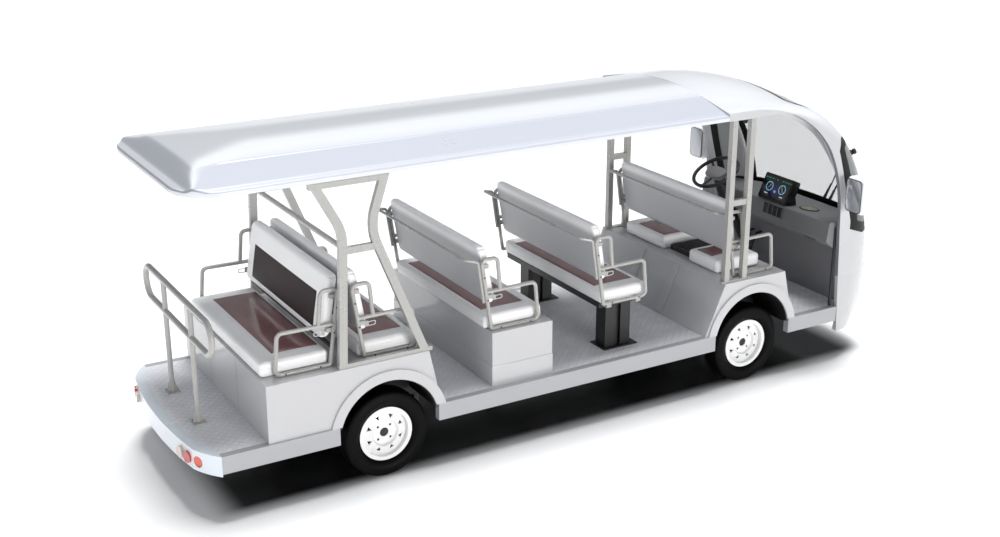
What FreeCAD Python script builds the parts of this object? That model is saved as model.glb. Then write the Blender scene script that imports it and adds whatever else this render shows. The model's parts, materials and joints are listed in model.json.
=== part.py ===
"""Open-sided electric sightseeing vehicle, fourteen seats, as a parametric assembly.

Millimetres. +X forward, +Y left, +Z up. The origin is on the ground, under the
middle of the vehicle. Rear pieces are placed from the rear axle and front
pieces from the front axle, so the wheelbase can be changed by itself.
"""
import math
import os

import FreeCAD
import Part
import Sketcher
from FreeCAD import Rotation, Vector

doc = FreeCAD.newDocument("SightseeingVehicle")

# ---------------------------------------------------------------- sizes
SIZES = {
    # whole vehicle
    "rear_axle_x": -1454, "wheelbase": 2800, "side_room": 132, "skin_inset": 14,
    "floor_top": 426, "deck_plate": 24, "seat_box_top": 785, "wall": 22,
    "side_gap": 0.3,
    # side sills, drawn as straight lengths between the wheel arches
    "sill_depth": 111, "sill_width": 48, "arch_radius": 328,
    "rear_arch_z": 328, "front_arch_z": 352, "arch_flare": 62, "liner_wall": 6,
    # frame under the floor
    "rail_y": 330, "rail_width": 50, "rail_depth": 70, "cross_width": 50,
    "frame_back": -1040, "frame_front": 840,
    # wheels, axles and steering
    "tyre_radius": 278, "tyre_width": 155, "wheel_inset": 50, "rim_radius": 174,
    "rim_wall": 5, "rim_half": 58, "disc_set_in": 14, "hub_bore": 29, "lug_circle": 58,
    "lug_hole": 8, "vent_circle": 112, "vent_side": 30, "kingpin_inset": 230,
    "kingpin_lean_length": 150, "knuckle_radius": 24, "axle_tube": 34,
    "brake_radius": 118, "brake_width": 46, "running_gap": 6,
    "diff_radius": 105, "motor_radius": 92, "motor_length": 300,
    "spring_length": 780, "spring_width": 50, "spring_leaf": 8, "hub_boss": 46,
    # rear seat box, from the rear axle
    "rear_box_back": -764, "rear_box_front": 275, "rear_box_foot": 353,
    "battery_length": 480, "battery_width": 620, "battery_height": 240,
    # front seat box, from the front axle
    "front_box_back": -255, "front_box_back_foot": -410, "front_box_front": 275,
    "front_box_foot": 361,
    # middle seat rows, from the rear axle
    "row3_box_back": 736, "row3_box_front": 1176, "row3_inset": 55,
    "pedestal_back": 1690, "pedestal_front": 1890, "pedestal_y": 490, "pedestal_half": 55,
    "pedestal_plate": 8, "tray_back": 1604, "tray_front": 1958, "tray_inset": 28,
    "tray_depth": 36,
    # seats
    "seat_half": 618, "front_seat_half": 545, "cushion_height": 92, "cushion_round": 26,
    "back_bottom": 950, "back_top": 1332, "back_thick": 62, "back_lean": 66,
    "row1_back_x": -132, "row1_seat_back": -180, "row1_seat_front": 200,
    "driver_seat_inner": 70, "mate_seat_inner": -222,
    "row2_back_x": 1587, "row2_seat_back": 1596, "row2_seat_front": 1965,
    "row3_back_x": 747, "row3_seat_back": 722, "row3_seat_front": 1142,
    "row4_back_x": -124, "row4_seat_back": -138, "row4_seat_front": 244,
    "row5_back_x": -314, "row5_seat_back": -325, "row5_seat_front": -748,
    # arm rails
    "rail_tube": 25, "rail_gap": 27, "rail_arm_z": 1046, "rail_top_z": 1260,
    "rail_reach": 352, "rail_loop": 114, "rail_bend": 34, "grab_tube": 20, "grab_z": 1268,
    "grab_stand": 98, "grab_low_z": 978,
    # roof posts
    "post_inset": 53, "post_side": 40, "front_post_back": -232, "front_post_gap": 154,
    "front_post_bar_z": 1345, "post_plate": 12,
    "frame_bar": 50, "frame_bar_deep": 34, "rear_post_back": -308, "rear_post_front": 300,
    "rear_knee_back": -248, "rear_knee_front": -79, "rear_knee_z": 1616, "rear_bar_z": 1500,
    "rear_head_back": -444, "rear_head_front": 39, "rear_cross_z": 1522,
    # roof
    "roof_back": -1150, "roof_seam": -300, "roof_inset": 20, "roof_bottom": 1920,
    "roof_lip": 36, "roof_crease_half": 440, "roof_crease_rise": 110, "roof_rise": 152,
    "roof_shoulder": 26, "roof_hip": 170, "roof_corner": 250, "roof_wall": 28,
    # front cap and nose, from the front axle
    "cap_centre_x": -50, "cap_centre_z": 1200, "arch_inner": 772, "nose_reach": 1205,
    "nose_low_reach": 1262, "cap_corner": 250, "cap_corner_top": 120, "cap_bow": 34,
    "cap_wall": 30, "room_gap": 6, "cap_foot_z": 660, "pillar_foot_slope": 0.063,
    "nose_foot_z": 232, "bumper_proud": 128, "bumper_tuck": 110,
    "glass_wall": 6, "glass_top_x": 290, "glass_inset": 122, "glass_bottom": 950,
    "glass_shoulder_z": 1690, "glass_side_x": 690, "glass_lower_x": 845,
    # cab
    "firewall_x": 860, "firewall_wall": 20, "dash_back": 690, "dash_top": 1065,
    "dash_depth": 205, "dash_crease": 145, "dash_fall": 65, "dash_inset": 45,
    "display_x": 716, "display_y": -88, "display_half": 152, "display_tall": 195,
    "display_thick": 70, "display_lean": 24,
    "wheel_x": 506, "wheel_y": 350, "wheel_z": 1210, "wheel_radius": 190,
    "wheel_grip": 28, "column_lean": 28, "column_radius": 32, "pedal_width": 70,
    # mirrors, wipers and lamps
    "mirror_x": 776, "mirror_reach": 126, "mirror_wide": 52, "mirror_long": 170,
    "mirror_tall": 260, "mirror_z": 1300, "mirror_arm": 22,
    "wiper_long": 520, "wiper_lean": 35, "wiper_y": 66, "wiper_gap": 60,
    "headlamp_z": 800, "headlamp_y": 520, "headlamp_radius": 78, "turn_lamp_radius": 34,
    # rear bumper, platform and handrail, from the rear axle
    "bumper_back": -1210, "bumper_corner_x": -1052, "bumper_bottom": 300, "bumper_wall": 66,
    "lamp_radius": 36, "lamp_z": 358,
    "handrail_x": -1018, "handrail_inset": 110, "handrail_top": 1185, "handrail_low": 945,
    "handrail_tube": 38, "handrail_post_y": 250, "handrail_plate": 8,
}

sheet = doc.addObject("Spreadsheet::Sheet", "Dims")
for row, (alias, number) in enumerate(SIZES.items(), start=1):
    sheet.set(f"A{row}", alias)
    sheet.set(f"B{row}", str(number))
    sheet.setAlias(f"B{row}", alias)
doc.recompute()


class Size:
    """A length that carries both its number and the sheet expression it comes from."""

    def __init__(self, number, text=None):
        self.number = float(number)
        self.text = text or f"({self.number!r})"

    def _with(self, other, sign, number):
        return Size(number, f"({self.text} {sign} {as_size(other).text})")

    def __add__(self, other):
        return self._with(other, "+", self.number + as_size(other).number)

    def __sub__(self, other):
        return self._with(other, "-", self.number - as_size(other).number)

    def __mul__(self, other):
        return self._with(other, "*", self.number * as_size(other).number)

    def __truediv__(self, other):
        return self._with(other, "/", self.number / as_size(other).number)

    def __radd__(self, other):
        return as_size(other) + self

    def __rsub__(self, other):
        return as_size(other) - self

    def __rmul__(self, other):
        return as_size(other) * self

    def __neg__(self):
        return as_size(0) - self

    def __float__(self):
        return self.number


def as_size(value):
    return value if isinstance(value, Size) else Size(value)


class Sheet:
    """Reads one size of the sheet by its alias."""

    def __getattr__(self, alias):
        return Size(sheet.get(alias), f"Dims.{alias}")


d = Sheet()
front_axle_x = d.rear_axle_x + d.wheelbase
roof_top = float(d.roof_bottom + d.roof_rise)
roof_crease_z = float(d.roof_bottom + d.roof_crease_rise)

# widths, from the seats outwards
body_half = d.seat_half + d.side_room
side_skin_half = body_half - d.skin_inset
wheel_face = body_half - d.wheel_inset
kingpin_y = body_half - d.kingpin_inset
row3_box_half = body_half - d.row3_inset
post_y = body_half - d.post_inset
roof_half = body_half - d.roof_inset
glass_half = body_half - d.glass_inset
dash_half = body_half - d.dash_inset
mirror_half = body_half + d.mirror_reach
handrail_half = body_half - d.handrail_inset


def rear(offset):
    return d.rear_axle_x + offset


def front(offset):
    return front_axle_x + offset


# ---------------------------------------------------------------- builders
parts = []


def piece(obj, label):
    """Names a finished sub-part and lists it for export."""
    obj.Label = label
    parts.append(obj)
    return obj


def bind_place(obj, x=0, y=0, z=0):
    for axis, value in (("x", x), ("y", y), ("z", z)):
        obj.setExpression(f"Placement.Base.{axis}", as_size(value).text)


def box(x0, x1, y0, y1, z0, z1):
    obj = doc.addObject("Part::Box", "Block")
    x0, y0, z0 = as_size(x0), as_size(y0), as_size(z0)
    obj.setExpression("Length", (x1 - x0).text)
    obj.setExpression("Width", (y1 - y0).text)
    obj.setExpression("Height", (z1 - z0).text)
    bind_place(obj, x0, y0, z0)
    return obj


TURNS = {
    "x": Rotation(Vector(0, 1, 0), 90),
    "y": Rotation(Vector(1, 0, 0), -90),
    "z": Rotation(),
}


def rod(axis, x, y, z, radius, length):
    """A round bar that starts at x, y, z and runs along an axis."""
    obj = doc.addObject("Part::Cylinder", "Rod")
    obj.Placement.Rotation = TURNS[axis]
    obj.setExpression("Radius", as_size(radius).text)
    obj.setExpression("Height", as_size(length).text)
    bind_place(obj, x, y, z)
    return obj


def fuse(shapes):
    obj = doc.addObject("Part::MultiFuse", "Joined")
    obj.Shapes = shapes
    return obj


def cut(base, tools):
    obj = doc.addObject("Part::Cut", "Trimmed")
    obj.Base = base
    obj.Tool = tools[0] if len(tools) == 1 else fuse(tools)
    return obj


def common(first, second):
    obj = doc.addObject("Part::Common", "Shared")
    obj.Base = first
    obj.Tool = second
    return obj


def group(shapes):
    obj = doc.addObject("Part::Compound", "Group")
    obj.Links = shapes
    return obj


def feature(shape):
    obj = doc.addObject("Part::Feature", "Formed")
    obj.Shape = shape
    return obj


def sketch_on(body, role, points):
    """A closed outline of straight lines whose corners are bound to the sheet."""
    sketch = body.newObject("Sketcher::SketchObject", "Outline")
    plane = next(o for o in body.Origin.OriginFeatures if o.Role == role)
    sketch.AttachmentSupport = [(plane, "")]
    sketch.MapMode = "FlatFace"
    corners = [(as_size(a), as_size(b)) for a, b in points]
    count = len(corners)
    for i, corner in enumerate(corners):
        following = corners[(i + 1) % count]
        start, end = (Vector(*map(float, point), 0) for point in (corner, following))
        sketch.addGeometry(Part.LineSegment(start, end))
    for i in range(count):
        sketch.addConstraint(Sketcher.Constraint("Coincident", i, 2, (i + 1) % count, 1))
    for i, corner in enumerate(corners):
        for kind, value in zip(("DistanceX", "DistanceY"), corner):
            number = sketch.addConstraint(Sketcher.Constraint(kind, -1, 1, i, 1, float(value)))
            sketch.setExpression(f"Constraints[{number}]", value.text)
    return sketch


def slab(role, points, thickness, middle=0, rounds=()):
    """A padded outline, as thick on both sides of its plane, with rounded edges.

    rounds holds pairs of a radius and a test that picks the edges to round.
    """
    body = doc.addObject("PartDesign::Body", "Body")
    pad = body.newObject("PartDesign::Pad", "Pad")
    pad.Profile = sketch_on(body, role, points)
    pad.SideType = "Symmetric"
    pad.setExpression("Length", as_size(thickness).text)
    axis = {"XY_Plane": "z", "XZ_Plane": "y", "YZ_Plane": "x"}[role]
    bind_place(body, **{axis: middle})
    for radius, chosen in rounds:
        doc.recompute()
        last = body.Tip
        names = [f"Edge{i}" for i, edge in enumerate(last.Shape.Edges, start=1) if chosen(edge)]
        softened = body.newObject("PartDesign::Fillet", "Rounded")
        softened.Base = (last, names)
        softened.setExpression("Radius", as_size(radius).text)
    return body


def along(axis, limit=0.9):
    """Picks straight edges that run along an axis."""
    direction = {"x": Vector(1, 0, 0), "y": Vector(0, 1, 0), "z": Vector(0, 0, 1)}[axis]
    return lambda edge: (
        isinstance(edge.Curve, Part.Line)
        and abs(edge.tangentAt(edge.FirstParameter).dot(direction)) > limit
    )


def rounded_path(points, bend):
    """Straight runs joined by tangent arcs of one bend radius."""
    points = [Vector(*map(float, p)) for p in points]
    edges = []
    start = points[0]
    for before, corner, after in zip(points, points[1:], points[2:]):
        into = (before - corner).normalize()
        out = (after - corner).normalize()
        half = into.getAngle(out) / 2
        back = float(bend) / math.tan(half)
        tangent_in = corner + into * back
        tangent_out = corner + out * back
        middle = (into + out).normalize()
        mid_point = corner + middle * (float(bend) / math.sin(half) - float(bend))
        edges.append(Part.LineSegment(start, tangent_in).toShape())
        edges.append(Part.Arc(tangent_in, mid_point, tangent_out).toShape())
        start = tangent_out
    edges.append(Part.LineSegment(start, points[-1]).toShape())
    return Part.Wire(edges)


def tube(points, diameter, bend):
    """A round bar along a path with rounded corners."""
    path = rounded_path(points, bend)
    start = Vector(*map(float, points[0]))
    heading = Vector(*map(float, points[1])) - start
    ring = Part.Wire(Part.makeCircle(float(diameter) / 2, start, heading))
    return path.makePipeShell([ring], True, False)


def flat_bar(points, across, deep, bend):
    """A rectangular bar along a path in a plane of constant y."""
    path = rounded_path(points, bend)
    start = Vector(*map(float, points[0]))
    heading = (Vector(*map(float, points[1])) - start).normalize()
    side = Vector(0, 1, 0)
    up = heading.cross(side)
    half_a, half_d = float(across) / 2, float(deep) / 2
    corners = [start + up * (a * half_a) + side * (b * half_d)
               for a, b in ((-1, -1), (1, -1), (1, 1), (-1, 1))]
    outline = Part.makePolygon(corners + corners[:1])
    return path.makePipeShell([outline], True, False)


def joined(shapes):
    whole = shapes[0].multiFuse(shapes[1:])
    return whole.removeSplitter()


def block(x0, x1, y0, y1, z0, z1):
    low = Vector(min(float(x0), float(x1)), min(float(y0), float(y1)), min(float(z0), float(z1)))
    size = Vector(abs(float(x1) - float(x0)), abs(float(y1) - float(y0)), abs(float(z1) - float(z0)))
    return Part.makeBox(size.x, size.y, size.z, low)


# ---------------------------------------------------------------- floor and frame
def floor_and_frame():
    deck_bottom = d.floor_top - d.deck_plate
    back = rear(d.bumper_corner_x)
    nose = front(d.firewall_x)
    side = body_half - d.sill_width
    deck = box(rear(d.rear_box_back), nose, -side, side, deck_bottom, d.floor_top)
    wells = []
    for axle in (as_size(d.rear_axle_x), front_axle_x):
        for sign in (-1, 1):
            inner = d.rail_y + d.rail_width
            reach = d.arch_radius + d.wall
            y0, y1 = (inner, side) if sign > 0 else (-side, -inner)
            wells.append(box(axle - reach, axle + reach, y0, y1, deck_bottom - d.wall, d.floor_top + d.wall))
    piece(cut(deck, wells), "floor_deck")

    lengths = (
        (back, rear(-d.arch_radius)),
        (rear(d.arch_radius), front(-d.arch_radius)),
        (front(d.arch_radius), front(d.firewall_x) - 78),
    )
    low = d.floor_top - d.sill_depth
    sills = []
    for x0, x1 in lengths:
        sills.append(box(x0, x1, side, body_half, low, d.floor_top))
        sills.append(box(x0, x1, -body_half, -side, low, d.floor_top))
    piece(group(sills), "side_sills")

    rail_low = deck_bottom - d.rail_depth
    x0, x1 = rear(d.frame_back), front(d.frame_front)
    half = d.rail_width / 2
    members = [box(x0, x1, s * d.rail_y - half, s * d.rail_y + half, rail_low, deck_bottom) for s in (-1, 1)]
    stations = (
        rear(d.frame_back), rear(-d.arch_radius - 110), rear(d.arch_radius + 60),
        rear(d.wheelbase / 2), front(-d.arch_radius - 110), front(d.arch_radius + 60),
        front(d.frame_front) - d.cross_width,
    )
    for x in stations:
        members.append(box(x, x + d.cross_width, -side, side, deck_bottom - d.cross_width, deck_bottom))
    piece(fuse(members), "chassis_frame")


# ---------------------------------------------------------------- wheels and axles
def wheel(label, axle_x, sign):
    """Tyre and rim turned about the axle, with the outer face on the given side."""
    turn = Rotation(Vector(0, 0, 1), 0 if sign > 0 else 180)
    centre = wheel_face - d.tyre_width / 2

    def turned(points, rounds=()):
        body = doc.addObject("PartDesign::Body", "Turned")
        ring = body.newObject("PartDesign::Revolution", "Turning")
        ring.Profile = sketch_on(body, "YZ_Plane", points)
        axis_line = next(o for o in body.Origin.OriginFeatures if o.Role == "Y_Axis")
        ring.ReferenceAxis = (axis_line, [""])
        ring.Angle = 360
        for radius, chosen in rounds:
            doc.recompute()
            last = body.Tip
            names = [f"Edge{i}" for i, e in enumerate(last.Shape.Edges, start=1) if chosen(e)]
            softened = body.newObject("PartDesign::Fillet", "Rounded")
            softened.Base = (last, names)
            softened.setExpression("Radius", as_size(radius).text)
        return body

    def place(body):
        body.Placement.Rotation = turn
        bind_place(body, axle_x, sign * centre, d.tyre_radius)

    half = d.tyre_width / 2
    bead = d.rim_radius - 18
    tread = half - 14
    sidewall = (d.rim_radius + d.tyre_radius) / 2
    outline = [
        (-(d.rim_half - 7), bead), (-(d.rim_half - 7), d.rim_radius + 2),
        (-half, sidewall - 18), (-half, sidewall + 14), (-tread, d.tyre_radius), (tread, d.tyre_radius),
        (half, sidewall + 14), (half, sidewall - 18),
        (d.rim_half - 7, d.rim_radius + 2), (d.rim_half - 7, bead),
    ]
    limit = float(sidewall) - 25

    def outer_rings(edge):
        return isinstance(edge.Curve, Part.Circle) and edge.Curve.Radius > limit

    tyre = turned(outline, [(12, outer_rings)])
    place(tyre)
    piece(tyre, f"tyre_{label}")

    barrel = bead - d.rim_wall
    face = d.rim_half - d.disc_set_in
    lip = d.rim_half
    rim_outline = [
        (-lip, d.rim_radius), (-lip, barrel), (face - 30, barrel), (face - 24, d.vent_circle + 24),
        (face - 8, d.vent_circle - 26), (face - 22, d.lug_circle + 18), (face - 22, d.hub_bore),
        (face - 15, d.hub_bore), (face - 15, d.lug_circle + 20), (face, d.vent_circle - 24),
        (face - 16, d.vent_circle + 26), (face - 16, barrel - 1), (lip, barrel - 1), (lip, d.rim_radius),
        (lip - 6, d.rim_radius), (lip - 6, bead), (6 - lip, bead), (6 - lip, d.rim_radius),
    ]
    rim_body = turned(rim_outline)
    holes = []
    lug_count, vent_count = 4, 8
    for i in range(lug_count):
        a = math.radians(360 / lug_count * (i + 0.5))
        holes.append(rod("y", d.lug_circle * math.cos(a), -d.tyre_width, d.lug_circle * math.sin(a),
                         d.lug_hole, d.tyre_width * 2))
    for i in range(vent_count):
        a = math.radians(360 / vent_count * (i + 0.5))
        prism = doc.addObject("Part::Prism", "Vent")
        prism.Polygon = 3
        prism.setExpression("Circumradius", (d.vent_side / math.sqrt(3)).text)
        prism.setExpression("Height", (d.tyre_width * 2).text)
        prism.Placement.Rotation = Rotation(Vector(0, 1, 0), -math.degrees(a) + 180).multiply(TURNS["y"])
        bind_place(prism, d.vent_circle * math.cos(a), -d.tyre_width, d.vent_circle * math.sin(a))
        holes.append(prism)
    rim = cut(rim_body, holes)
    place(rim)
    piece(rim, f"rim_{label}")


def axles():
    hub_z = d.tyre_radius
    inner_face = wheel_face - d.tyre_width / 2 + d.rim_half - d.disc_set_in - 22
    drum_out = inner_face - d.running_gap
    drum_in = drum_out - d.brake_width
    # rear axle: tube, drive case with its motor, and a drum inside each wheel
    tube_bar = rod("y", d.rear_axle_x, -drum_in, hub_z, d.axle_tube, drum_in * 2)
    case = doc.addObject("Part::Sphere", "Case")
    case.setExpression("Radius", d.diff_radius.text)
    bind_place(case, d.rear_axle_x, 0, hub_z)
    motor = rod("x", d.rear_axle_x, 0, hub_z + 20, d.motor_radius, d.motor_length)
    drums = [
        rod("y", d.rear_axle_x, drum_in, hub_z, d.brake_radius, d.brake_width),
        rod("y", d.rear_axle_x, -drum_out, hub_z, d.brake_radius, d.brake_width),
    ]
    bosses = [
        rod("y", d.rear_axle_x, drum_out - 1, hub_z, d.hub_boss, d.running_gap - d.side_gap + 1),
        rod("y", d.rear_axle_x, -inner_face + d.side_gap, hub_z, d.hub_boss, d.running_gap - d.side_gap + 1),
    ]
    piece(fuse([tube_bar, case, motor] + drums + bosses), "rear_axle")

    # front axle: a square beam with a fork at each end
    beam_half = d.axle_tube * 0.8
    fork_end = kingpin_y - d.knuckle_radius - d.running_gap
    beam = box(front_axle_x - beam_half, front_axle_x + beam_half, -fork_end, fork_end,
               hub_z - beam_half, hub_z + beam_half)
    forks = []
    half_pin = d.kingpin_lean_length / 2
    fork = d.axle_tube * 0.6
    for s in (-1, 1):
        y = s * kingpin_y
        inner = s * (fork_end - d.axle_tube)
        y0, y1 = (inner, y + 20) if s > 0 else (y - 20, inner)
        for z in (hub_z + half_pin, hub_z - half_pin - fork):
            forks.append(box(front_axle_x - fork, front_axle_x + fork, y0, y1, z, z + fork))
        yw0, yw1 = (inner, inner + d.axle_tube) if s > 0 else (inner - d.axle_tube, inner)
        forks.append(box(front_axle_x - fork, front_axle_x + fork, yw0, yw1,
                         hub_z - half_pin - fork, hub_z + half_pin + fork))
    piece(fuse([beam] + forks), "front_axle")

    # one knuckle at each side: kingpin barrel, stub axle, brake drum and steering arm
    for side, s in (("left", 1), ("right", -1)):
        y = s * kingpin_y
        barrel = rod("z", front_axle_x, y, hub_z - half_pin + d.side_gap, d.knuckle_radius,
                     d.kingpin_lean_length - d.side_gap * 2)
        reach = drum_out - kingpin_y
        start = y if s > 0 else -drum_out
        stub = rod("y", front_axle_x, start, hub_z, d.knuckle_radius * 0.8, reach)
        drum_start = drum_in if s > 0 else -drum_out
        drum = rod("y", front_axle_x, drum_start, hub_z, d.brake_radius, d.brake_width)
        arm = box(front_axle_x - 120, front_axle_x, y - 12, y + 12, hub_z - 40, hub_z - 22)
        boss_start = drum_out - 1 if s > 0 else -inner_face + d.side_gap
        boss = rod("y", front_axle_x, boss_start, hub_z, d.hub_boss, d.running_gap - d.side_gap + 1)
        piece(fuse([barrel, stub, drum, arm, boss]), f"knuckle_{side}")

    # leaf packs hang under the axles from hangers on the frame rails
    leaves = []
    rail_low = d.floor_top - d.deck_plate - d.rail_depth
    half_wide = d.spring_width / 2
    for x, seat in ((as_size(d.rear_axle_x), hub_z - d.axle_tube), (front_axle_x, hub_z - beam_half)):
        for s in (-1, 1):
            y = s * d.rail_y
            for i in range(4):
                half_long = d.spring_length * (0.5 - 0.11 * i)
                z = seat - d.spring_leaf * i
                leaves.append(box(x - half_long, x + half_long, y - half_wide, y + half_wide,
                                  z - d.spring_leaf, z))
            for end in (-1, 1):
                x_end = x + end * (d.spring_length / 2 - 18)
                leaves.append(box(x_end - 18, x_end + 18, y - half_wide, y + half_wide, seat, rail_low))
    piece(fuse(leaves), "leaf_springs")


# ---------------------------------------------------------------- seat boxes
def hollow_box(label, profile, inner, half, arch_x, arch_z, flare=True):
    """A folded seat box: side outline across the vehicle, hollow, with wheel arches cut."""
    shell = slab("XZ_Plane", profile, half * 2)
    cavity = slab("XZ_Plane", inner, (half - d.wall) * 2)
    tools = [cavity]
    bands = []
    if arch_x is not None:
        tools.append(rod("y", arch_x, -body_half * 1.2, arch_z, d.arch_radius, body_half * 2.4))
        if flare:
            # a raised band follows each arch opening
            for s in (-1, 1):
                y = half if s > 0 else -body_half
                ring = cut(rod("y", arch_x, y, arch_z, d.arch_radius + d.arch_flare, body_half - half),
                           [rod("y", arch_x, y - 5, arch_z, d.arch_radius, body_half - half + 10),
                            box(arch_x - body_half, arch_x + body_half, y - 5, y + 30,
                                arch_z - body_half, d.floor_top)])
                bands.append(ring)
    shell = cut(shell, tools)
    return piece(fuse([shell] + bands) if bands else shell, label)


def seat_boxes():
    w = d.wall
    top, low = d.seat_box_top, d.floor_top
    x0, x1, foot = rear(d.rear_box_back), rear(d.rear_box_front), rear(d.rear_box_foot)
    hollow_box(
        "rear_seat_box",
        [(x0, low), (x0, top), (x1, top), (foot, low)],
        [(x0 + w, low - 10), (x0 + w, top - w), (x1 - w, top - w), (foot - w, low), (foot - w, low - 10)],
        side_skin_half, as_size(d.rear_axle_x), d.rear_arch_z,
    )
    b0, b1 = front(d.front_box_back), front(d.front_box_front)
    f0, f1 = front(d.front_box_back_foot), front(d.front_box_foot)
    hollow_box(
        "front_seat_box",
        [(f0, low), (b0, top), (b1, top), (f1, low)],
        [(f0 + w, low - 10), (f0 + w, low), (b0 + w, top - w), (b1 - w, top - w), (f1 - w, low),
         (f1 - w, low - 10)],
        side_skin_half, front_axle_x, d.front_arch_z,
    )
    r0, r1 = rear(d.row3_box_back), rear(d.row3_box_front)
    half = row3_box_half
    outer = box(r0, r1, -half, half, low, top)
    inside = box(r0 + w, r1 - w, -(half - w), half - w, low - 1, top - w)
    piece(cut(outer, [inside]), "row3_seat_box")

    pack_x = rear(d.rear_box_back) + 60
    piece(box(pack_x - 30, pack_x - 30 + d.battery_length * 0.8, -d.battery_width / 2, d.battery_width / 2,
              low, low + d.battery_height), "battery_pack")


def wheel_liners():
    """Black arch liners: half tubes inside the wheel openings, closed toward the middle."""
    inner_y = d.rail_y + d.rail_width + d.side_gap
    thick = d.liner_wall
    low = d.floor_top - d.deck_plate
    radius = d.arch_radius - d.side_gap
    long = side_skin_half - inner_y
    solids = []
    for axle, centre in ((as_size(d.rear_axle_x), d.rear_arch_z), (front_axle_x, d.front_arch_z)):
        for s in (-1, 1):
            start = inner_y if s > 0 else -side_skin_half
            hollow_start = inner_y + thick if s > 0 else -side_skin_half - 1
            under = box(axle - d.wheelbase / 4, axle + d.wheelbase / 4, -body_half, body_half, 0, low)
            tube_body = rod("y", axle, start, centre, radius, long)
            hollow = rod("y", axle, hollow_start, centre, radius - thick, long - thick + 1)
            solids.append(cut(tube_body, [hollow, under]))
    piece(group(solids), "wheel_liners")


def row2_stand():
    top = d.seat_box_top
    x0, x1 = rear(d.pedestal_back), rear(d.pedestal_front)
    solids = []
    for s in (-1, 1):
        y = s * d.pedestal_y
        half = d.pedestal_half
        solids.append(box(x0 - 22, x1 + 44, y - half - 30, y + half + 30,
                          d.floor_top, d.floor_top + d.pedestal_plate))
        leg = box(x0, x1, y - half, y + half, d.floor_top, top - 8)
        groove = box(x0 + 78, x1 - 78, y - half - 5, y + half + 5, d.floor_top + d.pedestal_plate, top)
        web = box(x0 + 70, x1 - 70, y - half + 22, y + half - 22, d.floor_top, top - 8)
        solids += [cut(leg, [groove]), web]
    half = d.seat_half - d.tray_inset
    tray = box(rear(d.tray_back), rear(d.tray_front), -half, half, top - d.tray_depth, top)
    pan = box(rear(d.tray_back) + 30, rear(d.tray_front) - 30, -half + 30, half - 30,
              top - d.tray_depth - 5, top - 8)
    piece(fuse(solids + [cut(tray, [pan])]), "row2_seat_stand")


# ---------------------------------------------------------------- seats
def cushion(x0, x1, y0, y1):
    middle = d.seat_box_top + d.side_gap + d.cushion_height / 2
    outline = [(x0, y0), (x1, y0), (x1, y1), (x0, y1)]
    return slab("XY_Plane", outline, d.cushion_height, middle, [(d.cushion_round, along("z"))])


def backrest(x, lean, thick):
    """A leaning back panel: its rear face stands at x at the bottom, lean is to the top."""
    z0, z1 = d.back_bottom, d.back_top
    outline = [(x, z0), (x - lean, z1), (x - lean + thick, z1), (x + thick, z0)]
    return slab("XZ_Plane", outline, d.seat_half * 2, 0, [(20, along("y"))])


def seats():
    half = d.seat_half
    rows = {
        "row2": (rear(d.row2_seat_back), rear(d.row2_seat_front)),
        "row3": (rear(d.row3_seat_back), rear(d.row3_seat_front)),
        "row4": (rear(d.row4_seat_back), rear(d.row4_seat_front)),
        "row5": (rear(d.row5_seat_front), rear(d.row5_seat_back)),
    }
    for name, (x0, x1) in rows.items():
        piece(cushion(x0, x1, -half, half), f"seat_cushion_{name}")
    x0, x1 = front(d.row1_seat_back), front(d.row1_seat_front)
    piece(cushion(x0, x1, d.driver_seat_inner, d.front_seat_half), "seat_cushion_driver")
    piece(cushion(x0, x1, -d.front_seat_half, d.mate_seat_inner), "seat_cushion_front_passenger")
    backs = {
        "row1": (front(d.row1_back_x), d.back_lean, d.back_thick),
        "row2": (rear(d.row2_back_x), d.back_lean, d.back_thick),
        "row3": (rear(d.row3_back_x), d.back_lean, d.back_thick),
        "row4": (rear(d.row4_back_x), d.back_lean, d.back_thick),
        "row5": (rear(d.row5_back_x), -d.back_lean, -d.back_thick),
    }
    for name, (x, lean, thick) in backs.items():
        piece(backrest(x, lean, thick), f"backrest_{name}")


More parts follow.
